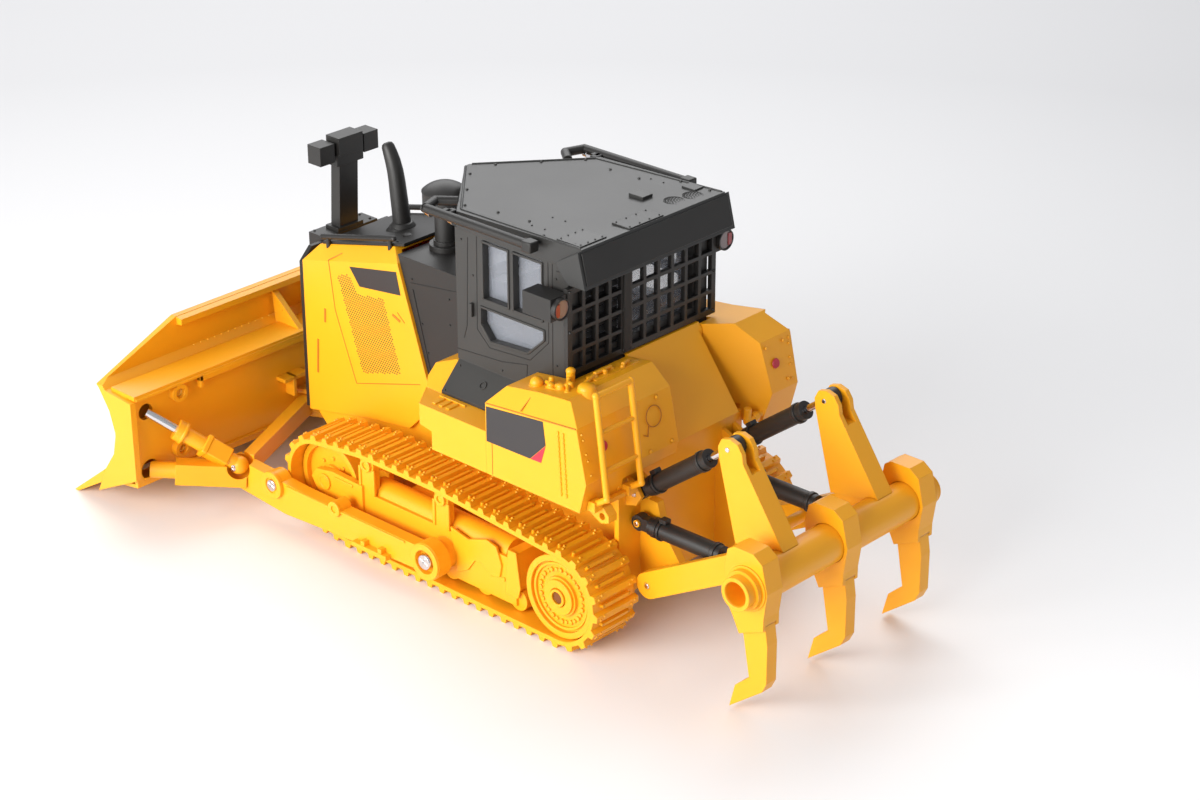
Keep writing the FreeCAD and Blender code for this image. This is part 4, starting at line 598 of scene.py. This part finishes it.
# louvres and the closing strip behind the lattice
bm = bmesh.new()
for i in range(11):
    z = 97.4 + i * 2.5
    turn = Matrix.Rotation(0.5, 4, "Y")
    block(bm, (-61.6, 11.0, z), (-60.4, 27.0, z + 1.7), turn)
block(bm, (-64.5, 7.0, 95.0), (-63.0, 10.4, 126.6))
piece("rear_louvres", bm, line_shade, "chassis")
bm = bmesh.new()
for y in (-37.0, 7.0, 10.2, 37.0):
    for z in (95.8, 111.0, 125.8):
        stud(bm, (-63.9, y, z), (-1, 0, 0), 0.6, 0.6, 8, 0.4)
piece("lattice_bolts", bm, black, "chassis")
lamp_clear = plastic("lamp_lens", (0.20, 0.15, 0.15), (0.15, 0.11, 0.11), 0.16, grain=0.0009, depth=0.5,
                     Metallic=0.3, Coat_Weight=0.8)
lens_red = plastic("lens_red", (0.30, 0.012, 0.020), (0.22, 0.008, 0.014), 0.16, grain=0.0009, depth=0.5,
                   Coat_Weight=0.8)
dress(lamp_clear, "rear_lamp_lenses")
for name, side in sides("rear_lamp_red"):
    bm = bmesh.new()
    block(bm, (-65.35, 43.0 * side, 119.2), (-64.9, 45.0 * side, 123.8))
    piece(name, bm, lens_red, "chassis", bevel=0.1)
for name, side in sides("rear_lamp_rim"):
    bm = bmesh.new()
    ring(bm, (-63.5, 41.9 * side, 121.5), (-1, 0, 0), 3.9, 3.35, 1.9, 32)
    piece(name, bm, black, "chassis")

# ---------------------------------------------------------------- roof
# A satin black plate with bolt heads along its edges, two bolted covers and two round fan
# grilles at the back, and small bright lamps tucked in beside the rails.
# painted sheen: the roof's black is lighter than the black of the other mouldings and of its own rear
# skirt, standing in for the overhead light it reflects
roof_black_painted_sheen = plastic("roof_moulding_painted_sheen", (0.030, 0.030, 0.029), (0.025, 0.025, 0.024), 0.36,
                    Specular_IOR_Level=0.5)
dress(roof_black_painted_sheen, "cab_roof")


def roof_z(x):
    """The roof falls gently towards the front."""
    return 142.4 - (x + 74.0) * 3.3 / 100.7


bm = bmesh.new()
edge_places = [(13.8, 6.4), (2.8, 18.7), (-8.1, 30.4), (-22.1, 28.3), (-36.5, 27.7), (-64.0, 34.0),
               (-50.0, 34.6)]
for x, y in edge_places:
    for side in (1, -1):
        stud(bm, (x, y * side, roof_z(x) - 0.1), (0, 0, 1), 0.62, 0.6, 8, 0.4)
for x in (-40.0, -46.0):
    for y in (-30.0, 20.0, 30.0):
        stud(bm, (x, y, roof_z(x) - 0.1), (0, 0, 1), 0.4, 0.4, 8, 0.25)
piece("roof_bolts", bm, black, "chassis")
bm = bmesh.new()
for x0, x1, y0, y1 in ((-67.4, -56.4, 22.4, 35.2), (-68.4, -60.2, -5.0, 12.2)):
    z = roof_z((x0 + x1) / 2)
    block(bm, (x0, y0, z - 0.3), (x1, y1, z + 0.55))
    for x in (x0 + 1.0, x1 - 1.0):
        for i in range(4):
            y = y0 + 1.2 + (y1 - y0 - 2.4) * i / 3
            stud(bm, (x, y, z + 0.5), (0, 0, 1), 0.35, 0.4, 8, 0.25)
block(bm, (-60.5, -34.6, roof_z(-58.0) - 0.2), (-54.5, -30.0, roof_z(-58.0) + 0.6))
block(bm, (-52.6, -17.0, roof_z(-49.0) - 0.2), (-46.0, -11.8, roof_z(-49.0) + 1.2))
piece("roof_covers", bm, roof_black_painted_sheen, "chassis", bevel=0.25)
bm = bmesh.new()
skirt_outline = [(-69.35, 37.0, 141.2), (-69.35, -37.0, 141.2),
                 (-72.0, -37.0, 130.2), (-72.0, 37.0, 130.2)]
sheet_of(bm, skirt_outline, (-1, 0, 0.25), 0.35)
piece("skirt_panel", bm, black, "chassis", bevel=0.3)
for name, fan_x, fan_y in (("roof_fan_outer", -62.6, -26.6), ("roof_fan_inner", -61.0, -18.6)):
    bm = bmesh.new()
    z = roof_z(fan_x) - 0.2
    for count, r in ((1, 0), (7, 1.15), (12, 2.1), (17, 3.0)):
        for i in range(count):
            turn = 2 * math.pi * i / count
            spot = (fan_x + r * math.cos(turn), fan_y + r * math.sin(turn), z)
            stud(bm, spot, (0, 0, 1), 0.34, 0.28, 6)
    ring(bm, (fan_x, fan_y, z), (0, 0, 1), 3.7, 3.5, 0.3, 30)
    piece(name, bm, line_shade, "chassis")
for name, side in sides("roof_lips"):
    bm = bmesh.new()
    a = (-9.8, 34.0 * side, roof_z(-9.8))
    b = (21.0, 1.6 * side, roof_z(21.0))
    bar(bm, a, b, 0.9, 0.7)
    bar(bm, (-68.0, 35.8 * side, roof_z(-68.0)), a, 0.7, 0.7)
    piece(name, bm, roof_black_painted_sheen, "chassis", bevel=0.2)
for name, side in sides("rail_ends"):
    bm = bmesh.new()
    block(bm, (-51.0, 37.9 * side, 137.4), (-46.5, 42.3 * side, 141.3))
    block(bm, (-9.0, 34.6 * side, 138.6), (-6.0, 40.4 * side, 140.3))
    piece(name, bm, black, "chassis", bevel=0.5)
bright = plastic("bright_plate", (0.80, 0.80, 0.82), (0.68, 0.68, 0.71), 0.14, grain=0.0006, depth=0.3,
                 Metallic=1.0)
for name, side in sides("rail_lamps"):
    bm = bmesh.new()
    for x in (-0.9, -12.1):
        stud(bm, (x, 39.6 * side, 138.2), (1, 0, 0), 1.6, 1.8, 18, 1.2)
        dome(bm, (x + 1.8, 39.6 * side, 138.2), 1.3)
    piece(name, bm, bright, "chassis")

# ---------------------------------------------------------------- blade and push frame
# The blade is a yellow moulding with screws in round bosses on its back.  The struts have
# bright plated rods, and chrome screws sit in the arms' pivots and on the struts' balls.
dress(yellow, "blade", "blade_back", "cutting_edge", "push_arms", "strut_barrels")
dress(bright, "strut_rods", "blade_screws", "link_rods", "lift_rods")
bm = bmesh.new()
for i in range(14):
    y = 12.0 + i * 3.4
    for side in (1, -1):
        stud(bm, (115.2, y * side, 58.4), (-1, 0, 0.9), 0.3, 0.35, 6, 0.2)
piece("blade_rivets", bm, yellow, "blade_frame")
for name, side in sides("blade_back_ribs"):
    bm = bmesh.new()
    block(bm, (106.4, 8.0 * side, 47.2), (108.6, 61.0 * side, 49.4))
    block(bm, (106.4, 59.6 * side, 44.6), (108.6, 61.0 * side, 49.4))
    block(bm, (106.6, 8.0 * side, 49.0), (109.2, 91.4 * side, 50.2))
    block(bm, (105.0, 9.0 * side, 33.0), (110.4, 21.0 * side, 34.6))
    block(bm, (105.0, 15.0 * side, 26.0), (110.4, 16.6 * side, 34.6))
    block(bm, (109.0, 24.0 * side, 14.6), (110.2, 88.0 * side, 15.4))
    piece(name, bm, yellow, "blade_frame", bevel=0.2)
for name, side in sides("boss_rings"):
    bm = bmesh.new()
    for y, z in ((70.2, 45.4), (70.8, 22.3)):
        ring(bm, (108.0, y * side, z), (-1, 0, 0), 3.6, 2.0, 0.9, 28)
    piece(name, bm, yellow, "blade_frame")
knee_x, knee_z = 67.5, 17.0
trunnion_x, trunnion_z = -15.0, 15.0
screw_height = 0.9
screws = ((knee_x, 61.0, knee_z, 2.6), (trunnion_x, 61.0, trunnion_z, 3.2), (87.0, 63.6, 18.6, 1.8))
for name, side in sides("arm_screws"):
    bm = bmesh.new()
    for x, y, z, r in screws:
        stud(bm, (x, y * side, z), (0, side, 0), r, screw_height, 24, r * 0.86)
        for turn in (0.4, 0.4 + math.pi / 2):
            dx = r * 0.6 * math.cos(turn)
            dz = r * 0.6 * math.sin(turn)
            top_y = (y + screw_height) * side
            bar(bm, (x - dx, top_y, z - dz), (x + dx, top_y, z + dz), 0.5, 0.25)
    piece(name, bm, bright, "blade_frame")
strut_pin = (87.0, 60.7, 18.6)
strut_eye = (109.7, 85.0, 42.0)
for name, side in sides("strut_blocks"):
    bm = bmesh.new()
    a = Vector((strut_pin[0], strut_pin[1] * side, strut_pin[2]))
    b = Vector((strut_eye[0], strut_eye[1] * side, strut_eye[2]))
    bar(bm, a + (b - a) * 0.12, a + (b - a) * 0.36, 6.8, 6.8)
    bar(bm, a + (b - a) * 0.34, a + (b - a) * 0.39, 7.6, 7.6)
    bar(bm, a + (b - a) * 0.585, a + (b - a) * 0.62, 8.8, 8.8, 20)
    piece(name, bm, yellow, "blade_frame", bevel=0.4)
for name, side in sides("arm_bosses"):
    bm = bmesh.new()
    y = 60.4 * side
    ring(bm, (knee_x, y, knee_z), (0, side, 0), 5.4, 3.1, 1.5, 36)
    ring(bm, (trunnion_x, y, trunnion_z), (0, side, 0), 7.0, 4.6, 1.4, 40)
    ring(bm, (33.0, y, 19.0), (0, side, 0), 3.1, 1.3, 1.2, 28)
    block(bm, (-4.0, y, 18.2), (60.0, y + 0.5 * side, 19.0))
    piece(name, bm, yellow, "blade_frame", bevel=0.2)

# ---------------------------------------------------------------- ripper
# Yellow box-section towers, arms and shanks on a round beam.  Black barrels with small port
# blocks drive bright rods, and each pivot has a small plated pin head.
dress(yellow, "ripper_mounts", "ripper_arms", "ripper_beam", "ripper_collars", "ripper_towers",
      "ripper_shanks")
dress(black, "link_barrels", "lift_barrels")
cylinder_y = 25.2
barrel_share = 0.68


def port_blocks(bm, pivot, eye, side):
    """Hose port, gland rings and foot ring of one cylinder."""
    a = Vector(pivot)
    b = Vector(eye)
    along = (b - a).normalized()
    up = Vector((-along.z, 0, along.x)) * (-1 if along.x < 0 else 1)
    y = cylinder_y * side
    spot = a + along * 11.0 + up * 3.2
    bar(bm, (spot.x, y, spot.z), (spot.x + up.x * 1.6, y, spot.z + up.z * 1.6), 3.0, 3.0)
    end = a + along * ((b - a).length * barrel_share)
    ring(bm, (end.x - along.x * 1.6, y, end.z - along.z * 1.6), along, 3.75, 3.2, 1.7, 28)
    ring(bm, (end.x, y, end.z), along, 2.6, 1.5, 0.7, 24)
    root = a + along * 9.6
    ring(bm, (root.x, y, root.z), along, 3.9, 3.2, 1.0, 28)


link_foot = (-86.0, 0, 54.7)
link_eye = (-127.4, 0, 85.8)
lift_foot = (-86.0, 0, 42.9)
lift_eye = (-137.5, 0, 43.4)
for name, side in sides("link_ports"):
    bm = bmesh.new()
    port_blocks(bm, link_foot, link_eye, side)
    ring(bm, (link_eye[0], cylinder_y * side - 1.75, link_eye[2]), (0, 1, 0), 3.5, 2.75, 3.5, 32)
    piece(name, bm, black, "link_cylinders", bevel=0.2)
for name, side in sides("lift_ports"):
    bm = bmesh.new()
    port_blocks(bm, lift_foot, lift_eye, side)
    piece(name, bm, black, "lift_barrels", bevel=0.2)
for name, side in sides("tower_pins"):
    bm = bmesh.new()
    for end in (-1, 1):
        spot = (link_eye[0], cylinder_y * side + 4.0 * end, link_eye[2])
        stud(bm, spot, (0, end, 0), 1.0, 0.35, 16, 0.8)
    piece(name, bm, bright, "ripper_beam")
for name, side in sides("mount_pins"):
    bm = bmesh.new()
    stud(bm, (lift_foot[0], 27.8 * side, lift_foot[2]), (0, side, 0), 1.0, 0.3, 16, 0.8)
    stud(bm, (link_foot[0], 29.0 * side, link_foot[2]), (0, side, 0), 1.0, 0.4, 16, 0.8)
    stud(bm, (-96.0, 33.2 * side, 24.5), (0, side, 0), 1.1, 0.4, 16, 0.8)
    piece(name, bm, bright, "chassis")
beam_x = -150.5
beam_z = 49.6
for name, side in sides("beam_ends"):
    bm = bmesh.new()
    axis = (0, side, 0)
    ring(bm, (beam_x, 50.6 * side, beam_z), axis, 5.9, 4.4, 0.9, 36)
    ring(bm, (beam_x, 45.0 * side, beam_z), axis, 8.0, 6.9, 1.1, 36)
    piece(name, bm, yellow, "ripper_beam", bevel=0.2)
bm = bmesh.new()
for y in (-41.5, 0.0, 41.5):
    for side in (1, -1):
        ring(bm, (-153.4, y + 3.5 * side, 37.6), (0, side, 0), 1.4, 0.7, 0.4, 20)
piece("collar_bolts", bm, yellow, "ripper_beam")

# ---------------------------------------------------------------- inside the hull
# Three wrapped cells lie in a tray under a green board, and grey gear cases hold the motors.
# A floor cover with two plated screws closes the hull, and the power switch slides in it.
cell_wrap = plastic("cell_wrap", (0.10, 0.16, 0.24), (0.08, 0.13, 0.20), 0.3)
board_green = plastic("board_green", (0.02, 0.16, 0.07), (0.015, 0.12, 0.05), 0.35)
case_grey = plastic("case_grey", (0.30, 0.30, 0.30), (0.25, 0.25, 0.25), 0.5)
dress(cell_wrap, "battery_cells")
dress(board_green, "circuit_board")
dress(case_grey, "battery_box", "drive_units", "blade_lift_unit", "ripper_lift_unit")
dress(black, "switch_body", "switch_slider")
bm = bmesh.new()
for x, y in ((-31.0, 0.0), (17.0, 0.0)):
    stud(bm, (x, y, 9.2), (0, 0, -1), 1.6, 0.6, 20, 1.4)
piece("cover_screws", bm, bright, "chassis")

# ---------------------------------------------------------------- studio
# A wide sheet of pale paper with painted shade that darkens it away from the toy, one soft
# box at its left side and a weaker one overhead.
sweep = bmesh.new()
bmesh.ops.create_grid(sweep, x_segments=1, y_segments=1, size=6.0)
paper = bpy.data.materials.new("studio_paper")
paper.use_nodes = True
paper_shader = set_shader(paper, (0.93, 0.93, 0.935), 0.6)
paper_nodes = paper.node_tree.nodes
paper_place = paper_nodes.new("ShaderNodeTexCoord")
paper_reach = paper_nodes.new("ShaderNodeVectorMath")
paper_reach.operation = "DISTANCE"
paper_reach.inputs[1].default_value = (-0.25, 0.30, 0.0)
# painted shade: the paper's colour darkens with distance from a spot beside the toy, in place of the
# lamps' falloff
paper_painted_shade = paper_nodes.new("ShaderNodeValToRGB")
paper_painted_shade.color_ramp.elements[0].position = 0.30
paper_painted_shade.color_ramp.elements[0].color = (0.94, 0.94, 0.945, 1.0)
paper_painted_shade.color_ramp.elements[1].position = 0.95
paper_painted_shade.color_ramp.elements[1].color = (0.62, 0.62, 0.63, 1.0)
paper.node_tree.links.new(paper_place.outputs["Object"], paper_reach.inputs[0])
paper.node_tree.links.new(paper_reach.outputs["Value"], paper_painted_shade.inputs["Fac"])
paper.node_tree.links.new(paper_painted_shade.outputs["Color"], paper_shader.inputs["Base Color"])
floor_mesh = bpy.data.meshes.new("studio_floor")
sweep.to_mesh(floor_mesh)
sweep.free()
floor_mesh.materials.append(paper)
floor = bpy.data.objects.new("studio_floor", floor_mesh)
bpy.context.scene.collection.objects.link(floor)

world = bpy.data.worlds.new("studio")
bpy.context.scene.world = world
world.use_nodes = True
world.node_tree.nodes["Background"].inputs["Color"].default_value = (0.96, 0.97, 1.0, 1.0)
world.node_tree.nodes["Background"].inputs["Strength"].default_value = 0.50


def soft_box(name, place, target, size, power, tint):
    """A rectangular lamp that faces a place on the toy."""
    lamp = bpy.data.lights.new(name, "AREA")
    lamp.shape = "RECTANGLE"
    lamp.size = size[0]
    lamp.size_y = size[1]
    lamp.energy = power
    lamp.color = tint
    holder = bpy.data.objects.new(name, lamp)
    holder.location = place
    holder.rotation_euler = (Vector(target) - Vector(place)).to_track_quat("-Z", "Y").to_euler()
    bpy.context.scene.collection.objects.link(holder)


soft_box("side_panel", (0.10, 1.30, 0.46), (0, 0, 0.06), (1.3, 0.8), 28.0, (1.0, 0.985, 0.96))
soft_box("overhead_box", (0.62, -0.55, 0.85), (0, 0, 0.10), (1.2, 1.0), 9.0, (1.0, 1.0, 1.0))

camera_data = bpy.data.cameras.new("camera")
camera_data.sensor_width = 36.0
camera_data.lens = 81.6
camera_data.clip_start = 0.01
camera = bpy.data.objects.new("camera", camera_data)
camera.location = (-0.6331, 0.640, 0.4828)
heading = math.radians(-47.06)
pitch = math.radians(25.44)
camera.rotation_euler = (math.pi / 2 - pitch, math.radians(0.12), heading - math.pi / 2)
bpy.context.scene.collection.objects.link(camera)
bpy.context.scene.camera = camera
bpy.context.scene.view_settings.view_transform = "Standard"
